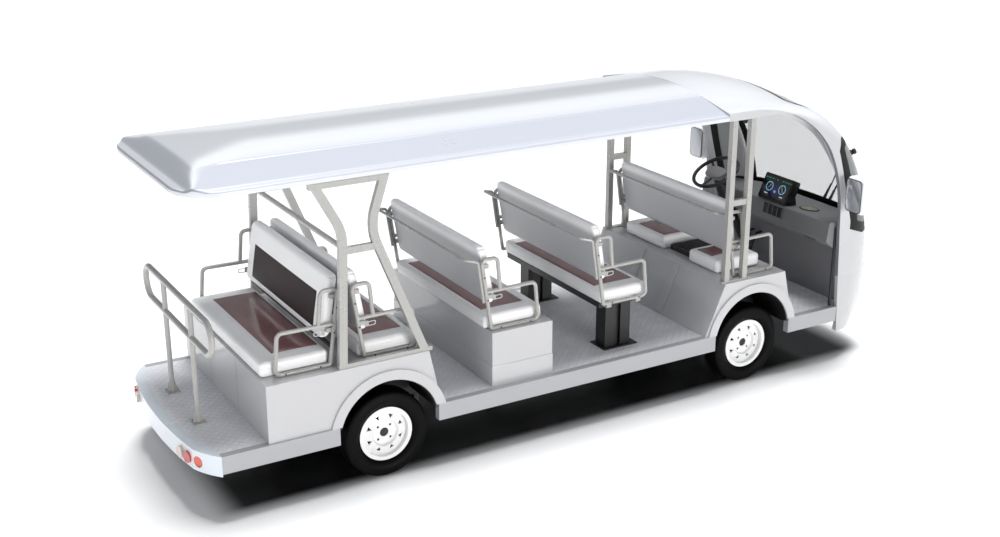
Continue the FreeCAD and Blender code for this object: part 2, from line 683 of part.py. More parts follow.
def arm_rail(x_back, facing, base_z, grab, under=None):
    """Arm rails at both sides of one seat row, with a grab bar behind the back.

    under is how far in the feet reach below the cushion where there is no seat
    box to stand on.
    """
    y = float(d.seat_half + d.rail_gap)
    tube_dia, bend = float(d.rail_tube), float(d.rail_bend)
    z0 = float(base_z) + tube_dia / 2
    arm_z, top_z = float(d.rail_arm_z), float(d.rail_top_z)
    reach, loop = float(d.rail_reach), float(d.rail_loop)
    x = float(x_back)
    f = facing
    foot_x, head_x = x + f * 10, x - f * 60

    def leg_at(z):
        """Where the leaning rear leg stands at one height."""
        return foot_x + (head_x - foot_x) * (z - z0) / (top_z - z0)

    solids = []
    for s in (-1, 1):
        yy = s * y
        foot = (foot_x, yy, z0)
        leg = [foot, (head_x, yy, top_z), (head_x + f * loop, yy, top_z - 3),
               (head_x + f * (loop + 20), yy, arm_z)]
        solids.append(tube(leg, tube_dia, bend))
        frame = [(leg_at(arm_z), yy, arm_z), (x + f * (reach - 24), yy, arm_z + 4),
                 (x + f * reach, yy, z0), foot]
        solids.append(tube(frame, tube_dia, bend))
        for along_x in (x + f * 60, x + f * (reach - 60)):
            inner = s * float(d.seat_half)
            solids.append(block(along_x - 18, along_x + 18, inner + s * 2, yy, float(base_z), z0))
            if under is not None:
                solids.append(block(along_x - 18, along_x + 18, s * float(under), yy, float(base_z) - 22,
                                    float(base_z)))
        # two lugs hold the end of the back
        for z in (float(d.back_bottom) + 60, float(d.back_top) - 120):
            xc = leg_at(z)
            solids.append(block(xc - f * 12, xc + f * 46, s * (float(d.seat_half) + float(d.side_gap)), yy,
                                z - 12, z + 12))
    if grab:
        # the bar stands off the back, turns forward at its ends and runs down both legs
        zc, low = float(d.grab_z), float(d.grab_low_z)
        side_y, end_y = y - 6, y - 26
        off = f * (tube_dia + float(d.grab_tube) - 1) / 2
        behind = leg_at(zc) - f * float(d.grab_stand)
        right = [(leg_at(low) - off, -side_y, low), (leg_at(zc - 20) - off, -side_y, zc - 20),
                 (behind, -end_y, zc)]
        left = [(px, -py, pz) for px, py, pz in right[::-1]]
        solids.append(tube(right + left, float(d.grab_tube), 24))
    return joined(solids)


def rails():
    top = d.seat_box_top
    piece(feature(arm_rail(front(d.row1_back_x) + 5, 1, top, True)), "seat_rails_row1")
    piece(feature(arm_rail(rear(d.row2_back_x), 1, top, True, d.seat_half - d.tray_inset)), "seat_rails_row2")
    piece(feature(arm_rail(rear(d.row3_back_x), 1, top, True)), "seat_rails_row3")
    piece(feature(arm_rail(rear(d.row4_back_x) + 5, 1, top, False)), "seat_rails_row4")
    piece(feature(arm_rail(rear(d.row5_back_x) - 5, -1, top, False)), "seat_rails_row5")


# ---------------------------------------------------------------- posts and roof
def upright(shapes, y, half_deep):
    """Joins a post's members and trims them level at the seat box and the roof."""
    base, head = float(d.seat_box_top), float(d.roof_bottom)
    far = float(d.wheelbase)
    span = block(-far, far, y - half_deep, y + half_deep, base, head)
    return joined(shapes).common(span)


def posts(cap_body):
    side, y = float(d.post_side), float(post_y)
    base, head = float(d.seat_box_top), float(d.roof_bottom)
    x0 = float(front(d.front_post_back))
    x1 = x0 + float(d.front_post_gap)
    bar_z = float(d.front_post_bar_z)
    solids = []
    for s in (-1, 1):
        members = [block(x - side / 2, x + side / 2, s * y - side / 2, s * y + side / 2, base, head)
                   for x in (x0, x1)]
        members.append(block(x0, x1, s * y - side / 2 + 4, s * y + side / 2 - 4,
                             bar_z - side / 2, bar_z + side / 2))
        members.append(block(x0 - side, x1 + side, s * y - side / 2, s * y + side / 2, base,
                             base + float(d.post_plate)))
        solids.append(joined(members).cut(cap_body))
    piece(feature(Part.makeCompound(solids)), "front_roof_posts")

    bar, deep = float(d.frame_bar), float(d.frame_bar_deep)
    yf = float(side_skin_half) - deep / 2 - 6
    foot_back, foot_front = float(rear(d.rear_post_back)) + bar / 2, float(rear(d.rear_post_front)) - bar / 2
    knee_back, knee_front = float(rear(d.rear_knee_back)), float(rear(d.rear_knee_front))
    head_back, head_front = float(rear(d.rear_head_back)), float(rear(d.rear_head_front))
    knee, bar_z = float(d.rear_knee_z), float(d.rear_bar_z)
    share = (bar_z - base) / (knee - base)
    bar_back = foot_back + (knee_back - foot_back) * share
    bar_front = foot_front + (knee_front - foot_front) * share
    bend = bar * 6
    solids = []
    for s in (-1, 1):
        y = s * yf
        below, above = base - bar, head + bar
        members = [
            flat_bar([(foot_back, y, below), (knee_back, y, knee), (head_back, y, above)], bar, deep, bend),
            flat_bar([(foot_front, y, below), (knee_front, y, knee), (head_front, y, above)],
                     bar, deep, bend),
            block(foot_back - bar / 2, foot_front + bar / 2, y - deep / 2, y + deep / 2, base, base + 26),
            block(bar_back, bar_front, y - deep / 2 + 3, y + deep / 2 - 3, bar_z - 20, bar_z + 22),
            block(head_back, head_front, y - deep / 2, y + deep / 2, head - 34, head),
        ]
        solids.append(upright(members, y, deep / 2))
    cross_start = Vector(bar_back, -yf, float(d.rear_cross_z))
    solids.append(Part.makeCylinder(17, 2 * yf, cross_start, Vector(0, 1, 0)))
    piece(feature(joined(solids)), "rear_roof_frame")


def roof():
    """The roof is what three outlines share: across, along and in plan."""
    def outline_across(inset):
        half, crease = float(roof_half) - inset, float(d.roof_crease_half)
        low = float(d.roof_bottom) - (20 if inset else 0)
        lip = float(d.roof_bottom) + float(d.roof_lip) - inset
        crease_z, top = roof_crease_z - inset, roof_top - inset
        shoulder = float(d.roof_shoulder)
        pts = [Vector(0, half, low), Vector(0, half, lip), Vector(0, half - shoulder, lip + 14),
               Vector(0, crease, crease_z)]
        edges = [Part.LineSegment(a, b).toShape() for a, b in zip(pts, pts[1:])]
        left = [Vector(0, -p.y, p.z) for p in pts]
        edges.append(Part.Arc(pts[-1], Vector(0, 0, top), left[-1]).toShape())
        back = left[::-1]
        edges += [Part.LineSegment(a, b).toShape() for a, b in zip(back, back[1:])]
        edges.append(Part.LineSegment(back[-1], pts[0]).toShape())
        return Part.Face(Part.Wire(edges))

    x0, x1 = float(rear(d.roof_back)), float(front(d.roof_seam))

    def across(inset):
        face = outline_across(inset)
        face.translate(Vector(x0 - 50, 0, 0))
        return face.extrude(Vector(x1 - x0 + 50 + (0 if inset == 0 else 5), 0, 0))

    def lengthwise(inset):
        low = float(d.roof_bottom) - (20 if inset else 0)
        lip = float(d.roof_bottom) + float(d.roof_lip) - inset
        top = roof_top + 60
        crease_z = roof_crease_z - inset
        start = x0 + inset
        hip = start + float(d.roof_hip)
        pts = [(start, low), (start, lip), (start + float(d.roof_shoulder), lip + 14),
               (hip, crease_z + 10), (hip + 260, top - 60 - inset), (hip + 600, top),
               (x1 + 50, top), (x1 + 50, low)]
        beside = float(roof_half) + 100
        ring = [Vector(a, -beside, b) for a, b in pts]
        return Part.Face(Part.makePolygon(ring + ring[:1])).extrude(Vector(0, beside * 2, 0))

    def in_plan(inset):
        half, corner = float(roof_half) - inset, float(d.roof_corner) - inset
        start = x0 + inset
        low, high = float(d.roof_bottom) - 50, roof_top + 100
        slab_box = Part.makeBox(x1 + 60 - start, half * 2, high - low, Vector(start, -half, low))
        edges = [e for e in slab_box.Edges
                 if abs(e.tangentAt(0).z) > 0.9 and e.Vertexes[0].X < start + 1]
        return slab_box.makeFillet(corner, edges)

    outer = across(0).common(lengthwise(0)).common(in_plan(0))
    wall = float(d.roof_wall)
    inner = across(wall).common(lengthwise(wall)).common(in_plan(wall))
    piece(feature(outer.cut(inner)), "roof_shell")


def loft(wires):
    """A smooth solid through closed outlines, turned so that its faces look outward."""
    solid = Part.makeLoft(wires, True, False)
    return solid.reversed() if solid.Volume < 0 else solid


def smooth_step(t):
    t = min(1.0, max(0.0, t))
    return t * t * (3 - 2 * t)


def cap_rib(angle, drop, inset):
    """One rib of the front cap.

    angle is 90 at the roof and 0 at the nose; the rib lies in the plane that
    turns about the cap's centre line. drop lowers a level rib below that line.
    """
    ox, oz = float(front(d.cap_centre_x)), float(d.cap_centre_z) - drop
    if angle > 90:
        ox -= (angle - 90) * 10
        angle = 90
    a = math.radians(angle)
    heading = Vector(math.cos(a), 0, math.sin(a))
    top = roof_top - float(d.cap_centre_z)
    nose = float(d.nose_reach)
    centre = top + (nose - top) * (1 - math.sin(a))
    slope = (nose - top) / nose
    centre += slope * drop * (1 - drop / 900) if drop else 0
    turn = smooth_step((90 - angle) / 60)
    half_side = float(roof_half) + (float(body_half) - float(roof_half)) * turn
    corner_top = float(d.cap_corner_top)
    corner = corner_top + (float(d.cap_corner) - corner_top) * smooth_step((60 - angle) / 60)
    crease = float(d.roof_crease_half)
    roof_drop = roof_top - roof_crease_z
    roof_edge = roof_top - float(d.roof_bottom) - float(d.roof_lip) - 14
    reach_in = float(d.arch_inner)
    if angle > 60:
        top_in = float(d.roof_bottom) - float(d.cap_centre_z)
        reach_in = reach_in + (top_in - reach_in) * smooth_step((angle - 60) / 30)
    reach_in += float(d.pillar_foot_slope) * drop + 14 * smooth_step((15 - angle) / 15)
    bow_half = float(body_half) / 1.5

    def setback(y):
        y = abs(y)
        if y <= crease:
            roof_kind = roof_drop * (y / crease) ** 2
        else:
            roof_kind = roof_drop + (roof_edge - roof_drop) * (y - crease) / (float(roof_half) - crease)
        bow = float(d.cap_bow) * (y / bow_half) ** 2
        start = half_side - corner
        nose_kind = bow
        if y > start:
            nose_kind += corner - math.sqrt(max(0.0, corner ** 2 - (y - start) ** 2))
        return roof_kind * (1 - turn) + nose_kind * turn

    count = 21
    points = []
    for i in range(count):
        u = math.sin(math.pi / 2 * (-1 + 2 * i / (count - 1)))
        y = u * half_side
        reach = centre - setback(y)
        scale = (half_side - inset) / half_side
        p = Vector(ox, y * scale, oz) + heading * (reach - inset)
        points.append(p)
    end_r = Vector(ox, points[0].y, oz) + heading * reach_in
    end_l = Vector(ox, points[-1].y, oz) + heading * reach_in
    return points, end_r, end_l


def cap_wire(angle, drop, outer_inset, wall):
    outer, out_r, out_l = cap_rib(angle, drop, outer_inset)
    inner, in_r, in_l = cap_rib(angle, drop, outer_inset + wall)
    curve_out, curve_in = Part.BSplineCurve(), Part.BSplineCurve()
    curve_out.interpolate(outer)
    curve_in.interpolate(inner[::-1])
    edges = [
        Part.LineSegment(out_r, outer[0]).toShape(), curve_out.toShape(),
        Part.LineSegment(outer[-1], out_l).toShape(), Part.LineSegment(out_l, in_l).toShape(),
        Part.LineSegment(in_l, inner[-1]).toShape(), curve_in.toShape(),
        Part.LineSegment(inner[0], in_r).toShape(), Part.LineSegment(in_r, out_r).toShape(),
    ]
    return Part.Wire(edges)


def cap_stations():
    lead = (float(d.cap_centre_x) - float(d.roof_seam)) / 10
    turning = [(90 + lead, 0), (90, 0)] + [(angle, 0) for angle in (75, 60, 45, 30, 15, 0)]
    drops = float(d.cap_centre_z) - float(d.cap_foot_z)
    level = [(0, drops * k / 4) for k in (1, 2, 3, 4)]
    return turning + level


def glass_opening(grow):
    """The windscreen's outline: up over the roof in the middle, round to the sides below."""
    x_top = float(front(d.glass_top_x)) - grow
    half = float(glass_half) + grow
    low = float(d.glass_bottom) - grow
    far = float(front(d.nose_reach)) + 300
    high = roof_top + 200
    mid_x = float(front(d.glass_side_x))
    ring = [(x_top, high), (far, high), (far, low), (mid_x, low), (mid_x, low + 300), (x_top, high - 450)]
    pts = [Vector(a, -half, b) for a, b in ring]
    centre = Part.Face(Part.makePolygon(pts + pts[:1])).extrude(Vector(0, 2 * half, 0))
    corners = [e for e in centre.Edges
               if abs(e.tangentAt(0).z) > 0.9 and abs(e.Vertexes[0].X - x_top) < 1]
    centre = centre.makeFillet(90, corners)
    side = float(front(d.glass_side_x))
    lower = float(front(d.glass_lower_x))
    shoulder = float(d.glass_shoulder_z) + grow
    ring = [(side - grow, shoulder - 95), (side + 42, shoulder - 20), (far, shoulder + 60), (far, low),
            (lower + 150, low), (lower - grow, low + 55), (lower - grow, low + 115)]
    beside = float(body_half) + 100
    pts = [Vector(a, -beside, b) for a, b in ring]
    wrap = Part.Face(Part.makePolygon(pts + pts[:1])).extrude(Vector(0, beside * 2, 0))
    return centre.fuse(wrap)


def headlamp_holes():
    """Round holes for the headlamps and, beside them, smaller ones for the turn lamps."""
    x = float(front(d.nose_reach)) - 320
    z, radius = float(d.headlamp_z), float(d.headlamp_radius)
    tools = []
    for s in (-1, 1):
        y = s * float(d.headlamp_y)
        tools.append(Part.makeCylinder(radius, 500, Vector(x, y, z), Vector(1, 0, 0)))
        inner = y - s * (radius + float(d.turn_lamp_radius) + 24)
        tools.append(Part.makeCylinder(float(d.turn_lamp_radius), 500, Vector(x, inner, z), Vector(1, 0, 0)))
    return Part.makeCompound(tools)


def front_cap():
    wires = [cap_wire(angle, drop, 0, float(d.cap_wall)) for angle, drop in cap_stations()]
    shell = loft(wires)
    opening = glass_opening(0)
    holes = headlamp_holes()
    piece(feature(shell.cut(opening).cut(holes)), "front_cap")
    piece(feature(shell.common(holes)), "headlamps")
    glass_wires = [cap_wire(angle, drop, 2, float(d.glass_wall)) for angle, drop in cap_stations()]
    glass = loft(glass_wires)
    piece(feature(glass.common(opening)), "windscreen")
    return shell, *[obj.Shape for obj in parts[-3::2]]


def cap_room():
    """The room inside the front cap below the windscreen's middle, clear of its walls."""
    gap = float(d.cap_wall) + float(d.room_gap)
    high, low = float(d.dash_top) + 60, float(d.cap_foot_z) - 60
    wires = []
    for share in (0, 0.33, 0.66, 1):
        z = high + (low - high) * share
        points, end_r, end_l = cap_rib(0, float(d.cap_centre_z) - z, gap)
        curve = Part.BSplineCurve()
        curve.interpolate(points)
        back = float(front(0))
        end_r, end_l = Vector(back, end_r.y, z), Vector(back, end_l.y, z)
        wires.append(Part.Wire([curve.toShape(), Part.LineSegment(points[-1], end_l).toShape(),
                                Part.LineSegment(end_l, end_r).toShape(),
                                Part.LineSegment(end_r, points[0]).toShape()]))
    return feature(loft(wires))


def nose_wire(z, proud, wall):
    """A level outline of the lower nose, open to the rear, as a thick strip."""
    drop = float(d.cap_centre_z) - z
    half = float(body_half)

    def ring(inset):
        points, end_r, end_l = cap_rib(0, drop, inset)
        shift = Vector(proud, 0, 0)
        points = [p + shift * smooth_step((half - abs(p.y)) / (half * 0.35)) for p in points]
        return points, end_r, end_l

    outer, out_r, out_l = ring(0)
    inner, in_r, in_l = ring(wall)
    curve_out, curve_in = Part.BSplineCurve(), Part.BSplineCurve()
    curve_out.interpolate(outer)
    curve_in.interpolate(inner[::-1])
    edges = [
        Part.LineSegment(out_r, outer[0]).toShape(), curve_out.toShape(),
        Part.LineSegment(outer[-1], out_l).toShape(), Part.LineSegment(out_l, in_l).toShape(),
        Part.LineSegment(in_l, inner[-1]).toShape(), curve_in.toShape(),
        Part.LineSegment(inner[0], in_r).toShape(), Part.LineSegment(in_r, out_r).toShape(),
    ]
    return Part.Wire(edges)


def front_bumper():
    top, low = float(d.cap_foot_z), float(d.nose_foot_z)
    proud = float(d.bumper_proud)
    tuck = float(d.bumper_tuck)
    tall = top - low
    steps = [(top, 0), (top - tall * 0.11, proud * 0.66), (top - tall * 0.35, proud * 0.9),
             (top - tall * 0.57, proud), (top - tall * 0.79, proud * 0.45),
             (low + tall * 0.06, -tuck * 0.3), (low, -tuck)]
    wires = [nose_wire(z, p, float(d.cap_wall)) for z, p in steps]
    piece(feature(loft(wires)), "front_bumper")


# ---------------------------------------------------------------- cab
def cab():
    half = body_half - d.cap_wall - 10
    x0 = front(d.firewall_x)
    piece(box(x0, x0 + d.firewall_wall, -half, half, d.floor_top - d.deck_plate, d.dash_top - d.dash_depth),
          "firewall_panel")
    dash0, dash1 = front(d.dash_back), front(d.nose_low_reach) - 110
    top, depth = d.dash_top, d.dash_depth
    outline = [(dash0, top), (dash1, top - d.dash_fall), (dash1, top - depth), (dash0 + 60, top - depth),
               (dash0 - 20, top - d.dash_crease)]
    across = slab("XZ_Plane", outline, dash_half * 2, 0, [(18, along("y"))])
    corner_x = front(d.nose_reach) - 260
    plan = [(dash0 - 60, -dash_half), (corner_x, -dash_half), (dash1 + 10, -dash_half * 0.66),
            (dash1 + 10, dash_half * 0.66), (corner_x, dash_half), (dash0 - 60, dash_half)]
    in_plan = slab("XY_Plane", plan, depth * 4, top)
    piece(common(common(across, in_plan), cap_room()), "dashboard")

    tall, thick = float(d.display_tall), float(d.display_thick)
    base = Vector(float(front(d.display_x)), float(d.display_y), float(d.dash_top))
    screen = block(-thick / 2, thick / 2, -float(d.display_half), float(d.display_half), 0, tall)
    screen = screen.makeFillet(14, [e for e in screen.Edges if abs(e.tangentAt(0).x) > 0.9])
    lean = Rotation(Vector(0, 1, 0), float(d.display_lean))
    screen.Placement = FreeCAD.Placement(base - Vector(0, 0, 10), lean)
    dash = parts[-1]
    doc.recompute()
    shown = max(screen.cut(dash.Shape).Solids, key=lambda solid: solid.Volume)
    piece(feature(shown), "display_screen")

    hub = Vector(float(front(d.wheel_x)), float(d.wheel_y), float(d.wheel_z))
    lean = math.radians(float(d.column_lean))
    axis = Vector(-math.sin(lean), 0, math.cos(lean))
    grip = float(d.wheel_grip) / 2
    radius = float(d.wheel_radius)
    ring = Part.makeTorus(radius - grip, grip, hub, axis)
    boss = Part.makeCylinder(52, 44, hub - axis * 46, axis)
    spokes = []
    for degrees in (90, 210, 330):
        across = Vector(0, 1, 0)
        up = axis.cross(across)
        a = math.radians(degrees)
        out = across * math.cos(a) + up * math.sin(a)
        spokes.append(Part.makeCylinder(10, radius - grip, hub - axis * 18, out))
    piece(feature(joined([ring, boss] + spokes)), "steering_wheel")
    foot = hub - axis * (46 + float(d.side_gap))
    wall_x = float(front(d.firewall_x))
    column_length = (wall_x - foot.x) / -axis.x + 80
    column = Part.makeCylinder(float(d.column_radius), column_length, foot, -axis)
    shroud = Part.makeCone(44, 62, 150, foot - axis * 4, -axis)
    stalk = Part.makeCylinder(6, 150, foot - axis * 60, Vector(0, -1, 0.1))
    beyond = block(wall_x, front(d.nose_low_reach), -body_half, body_half, 0, roof_top)
    column = joined([column, shroud, stalk]).cut(beyond).cut(dash.Shape)
    piece(feature(max(column.Solids, key=lambda solid: solid.Volume)), "steering_column")

    pedals = []
    face = float(front(d.firewall_x))
    for y in (190.0, 275.0):
        arm = tube([(face, y, 720), (face - 50, y, 720), (face - 110, y, 560)], 16, 20)
        half = float(d.pedal_width) / 2
        pad = block(face - 122, face - 104, y - half, y + half, 520, 590)
        pedals.append(joined([arm, pad]))
    piece(feature(Part.makeCompound(pedals)), "pedals")

    x0, x1 = front(d.row1_seat_back), front(d.row1_seat_front)
    piece(box(x0 + 60, x1 - 40, d.mate_seat_inner + 12, d.driver_seat_inner - 12,
              d.seat_box_top, d.seat_box_top + 34), "seat_gap_cover")


def mirrors(glass, cap):
    solids = []
    x, z = float(front(d.mirror_x)), float(d.mirror_z)
    for s in (-1, 1):
        y = s * float(mirror_half)
        head = block(x - float(d.mirror_wide), x + float(d.mirror_wide), y - float(d.mirror_long) / 2,
                     y + float(d.mirror_long) / 2, z - float(d.mirror_tall) / 2, z + float(d.mirror_tall) / 2)
        head = head.makeFillet(34, head.Edges)
        start = float(body_half) - 12
        arm = Part.makeCylinder(float(d.mirror_arm) / 2, abs(y) - start, Vector(x + 10, s * start, z - 60),
                                Vector(0, s, 0))
        whole = joined([head, arm]).cut(glass).cut(cap)
        solids.append(max(whole.Solids, key=lambda solid: solid.Volume))
    piece(feature(Part.makeCompound(solids)), "door_mirrors")


def cap_point(y, z, proud):
    """The point of the cap's outer surface at one y and height, moved out by proud."""
    drops = float(d.cap_centre_z) - float(d.cap_foot_z)
    low, high = 0.0, 2.0
    for _ in range(40):
        middle = (low + high) / 2
        angle, drop = (0, (1 - middle) * drops) if middle < 1 else ((middle - 1) * 90, 0)
        points, _, _ = cap_rib(angle, drop, 0)
        curve = Part.BSplineCurve()
        curve.interpolate(points)
        near = min(curve.discretize(200), key=lambda p: abs(p.y - y))
        if near.z < z:
            low = middle
        else:
            high = middle
    return near + Vector(proud, 0, 0)


def wipers(cap_shell):
    arms = []
    foot_z = float(d.glass_bottom) + 12
    lean = math.radians(float(d.wiper_lean))
    for pivot_y in (-float(d.wiper_y), -float(d.wiper_y) - float(d.wiper_gap)):
        points = []
        for k in range(5):
            y = pivot_y - math.sin(lean) * float(d.wiper_long) * k / 4
            z = foot_z + math.cos(lean) * float(d.wiper_long) * k / 4
            points.append(cap_point(y, z, 9))
        spine = Part.BSplineCurve()
        spine.interpolate(points)
        start = points[0]
        ring = Part.Wire(Part.makeCircle(5, start, spine.tangent(spine.FirstParameter)[0]))
        arm = Part.Wire(spine.toShape()).makePipeShell([ring], True, False)
        pivot = Part.makeCylinder(15, 36, start - Vector(24, 0, 0), Vector(1, 0, 0))
        arms.append(max(joined([arm, pivot]).cut(cap_shell).Solids, key=lambda solid: solid.CenterOfMass.x))
    piece(feature(Part.makeCompound(arms)), "wipers")


# ---------------------------------------------------------------- rear end
def rear_end():
    z0, z1 = float(d.bumper_bottom), float(d.floor_top)
    x_back, x_corner = float(rear(d.bumper_back)), float(rear(d.bumper_corner_x))
    half = float(body_half)

    def bow(inset):
        """A flat bow across the back with a rounded corner at each side, inset from the outside."""
        h = half - inset * 0.8
        side = Vector(x_corner, -h, 0)
        shoulder = Vector(x_back + 47 + inset * 0.95, -(half - 180 - inset * 0.25), 0)
        turn = Vector(x_back + 108 + inset * 0.55, -(h - 62 + inset * 0.1), 0)
        middle = Vector(x_back + inset, 0, 0)
        flip = lambda p: Vector(p.x, -p.y, p.z)
        arcs = [Part.Arc(side, turn, shoulder), Part.Arc(shoulder, middle, flip(shoulder)),
                Part.Arc(flip(shoulder), flip(turn), flip(side))]
        return [arc.toShape() for arc in arcs], side, flip(side)

    outer, right_out, left_out = bow(0)
    inner, right_in, left_in = bow(float(d.bumper_wall))
    ends = [Part.LineSegment(left_out, left_in).toShape(), Part.LineSegment(right_in, right_out).toShape()]
    ring = Part.Wire(Part.__sortEdges__(outer + inner + ends))
    bumper = Part.Face(ring).extrude(Vector(0, 0, z1 - z0))
    bumper.translate(Vector(0, 0, z0))
    platform_ring = Part.Wire(Part.__sortEdges__(inner + [Part.LineSegment(left_in, right_in).toShape()]))
    plate_low = z1 - float(d.deck_plate)
    platform = Part.Face(platform_ring).extrude(Vector(0, 0, float(d.deck_plate)))
    platform.translate(Vector(0, 0, plate_low))
    x_rail = float(rear(d.handrail_x))
    foot_y = float(d.handrail_post_y)
    foot_half_x, foot_half_y = 40, 45
    side = half - float(d.sill_width)
    tread = block(x_corner, rear(d.rear_box_back), -side, side, plate_low, z1)
    gap = float(d.side_gap)
    for s in (-1, 1):
        tread = tread.cut(block(x_corner - 1, x_rail + foot_half_x + gap, s * foot_y - foot_half_y - gap,
                                s * foot_y + foot_half_y + gap, plate_low, z1))

    lamps, sockets = [], []
    for s in (-1, 1):
        for i, y in enumerate((600, 515, 430)):
            x_face = x_back + (74, 30, 14)[i]
            turn = Vector(-1, s * (0.62, 0.3, 0.16)[i], 0).normalize()
            centre = Vector(x_face, s * y, float(d.lamp_z))
            lamps.append(Part.makeCylinder(float(d.lamp_radius), 40, centre - turn * 34, turn))
            sockets.append(Part.makeCylinder(float(d.lamp_radius), 60, centre - turn * 34, turn))
    for socket in sockets:
        bumper = bumper.cut(socket)
    piece(feature(bumper), "rear_bumper")
    piece(feature(joined([platform, tread])), "rear_platform_plate")
    piece(feature(Part.makeCompound(lamps)), "tail_lamps")

    dia = float(d.handrail_tube)
    x = x_rail
    top = float(d.handrail_top) - dia / 2
    low = float(d.handrail_low) + dia / 2
    span = float(handrail_half) - dia / 2
    middle = (top + low) / 2
    loop_path = rounded_path([(x, 0, top), (x, span, top), (x, span, low), (x, -span, low), (x, -span, top),
                              (x, 0, top)], (top - low) / 2 - 1)
    ring = Part.Wire(Part.makeCircle(dia / 2, Vector(x, 0, top), Vector(0, 1, 0)))
    loop = loop_path.makePipeShell([ring], True, False)
    solids = [loop]
    for s in (-1, 1):
        y = s * foot_y
        post = Part.makeCylinder(dia / 2 - 3, top - z1, Vector(x, y, z1), Vector(0, 0, 1))
        plate = block(x_corner + gap, x + foot_half_x, y - foot_half_y, y + foot_half_y, plate_low,
                      z1 + float(d.handrail_plate))
        gusset_ring = [Vector(x - 34, y - 4, z1), Vector(x + 34, y - 4, z1), Vector(x + 10, y - 4, z1 + 110),
                       Vector(x - 10, y - 4, z1 + 110)]
        gusset = Part.Face(Part.makePolygon(gusset_ring + gusset_ring[:1])).extrude(Vector(0, 8, 0))
        solids += [post, plate, gusset]
    piece(feature(joined(solids)), "rear_handrail")


floor_and_frame()
for end, axle_x in (("rear", as_size(d.rear_axle_x)), ("front", front_axle_x)):
    for side, sign in (("left", 1), ("right", -1)):
        wheel(f"{end}_{side}", axle_x, sign)
axles()
seat_boxes()
wheel_liners()
row2_stand()
seats()
rails()
roof()
cap_shell, cap_body, glass = front_cap()
posts(cap_body)
front_bumper()
cab()
mirrors(glass, cap_body)
wipers(cap_shell)
rear_end()

# ---------------------------------------------------------------- check and export
doc.recompute()
for obj in doc.Objects:
    if "Invalid" in obj.State or "Error" in obj.State:
        raise RuntimeError(f"{obj.Name} {obj.Label} did not recompute: {obj.State}")
for obj in parts:
    if obj.Shape.isNull() or not obj.Shape.isValid():
        raise RuntimeError(f"{obj.Label} has no valid shape")

os.makedirs("parts", exist_ok=True)
for obj in parts:
    obj.Shape.exportStep(f"parts/{obj.Label}.step")
    print(obj.Label, len(obj.Shape.Solids), "solids", round(obj.Shape.Volume / 1e6, 3), "litres")
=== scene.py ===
import json
import math

import bmesh
import bpy
import numpy as np
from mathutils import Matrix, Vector
from mathutils.kdtree import KDTree
from numpy.linalg import norm


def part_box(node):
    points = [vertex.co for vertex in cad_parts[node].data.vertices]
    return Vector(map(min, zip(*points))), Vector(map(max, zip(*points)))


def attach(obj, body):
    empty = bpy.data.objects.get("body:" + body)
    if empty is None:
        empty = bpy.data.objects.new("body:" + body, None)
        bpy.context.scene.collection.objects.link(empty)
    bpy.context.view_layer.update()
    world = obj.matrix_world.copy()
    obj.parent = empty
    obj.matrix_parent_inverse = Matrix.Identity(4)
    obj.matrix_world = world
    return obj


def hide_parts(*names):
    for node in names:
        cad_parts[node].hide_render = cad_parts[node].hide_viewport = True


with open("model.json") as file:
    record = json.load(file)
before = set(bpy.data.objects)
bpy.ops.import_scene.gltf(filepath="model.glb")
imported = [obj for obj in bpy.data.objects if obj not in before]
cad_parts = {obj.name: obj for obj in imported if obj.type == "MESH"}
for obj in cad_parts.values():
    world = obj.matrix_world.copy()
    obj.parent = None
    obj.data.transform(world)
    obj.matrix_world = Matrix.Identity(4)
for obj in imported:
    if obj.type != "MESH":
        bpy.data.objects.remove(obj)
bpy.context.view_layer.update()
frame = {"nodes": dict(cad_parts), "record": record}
scene = bpy.context.scene
rearAxle, frontAxle, axleHeight = -1.454, 1.346, 0.278   # metres


def tone(red, green, blue):
    # sRGB steps 0..255 to a linear colour
    levels = [c / 255 for c in (red, green, blue)]
    return [c / 12.92 if c < 0.04045 else ((c + 0.055) / 1.055) ** 2.4 for c in levels] + [1.0]


def forward(how):
    # an operator that adds one Math node
    return lambda self, other: self.calc(how, other)


def backward(how):
    # the same with a plain number on the left
    return lambda self, other: self.finish.calc(how, other, self)


class Val:
    # one output socket of a shader graph; arithmetic on it adds Math nodes
    __add__, __sub__, __pow__ = forward("ADD"), forward("SUBTRACT"), forward("POWER")
    __mul__, __truediv__ = forward("MULTIPLY"), forward("DIVIDE")
    __gt__, __lt__ = forward("GREATER_THAN"), forward("LESS_THAN")
    __radd__, __rsub__ = backward("ADD"), backward("SUBTRACT")

    def __init__(self, finish, socket):
        self.finish, self.socket = finish, socket

    def __neg__(self):
        return self * -1.0

    def __abs__(self):
        return self.calc("ABSOLUTE")

    def calc(self, how, *others):
        return self.finish.calc(how, self, *others)

    def rise(self, low, high, start=0.0, end=1.0):
        # smooth step from start to end as the value goes from low to high
        return self.finish.node("MapRange", {"interpolation_type": "SMOOTHSTEP"},
                                {0: self, 1: low, 2: high, 3: start, 4: end})


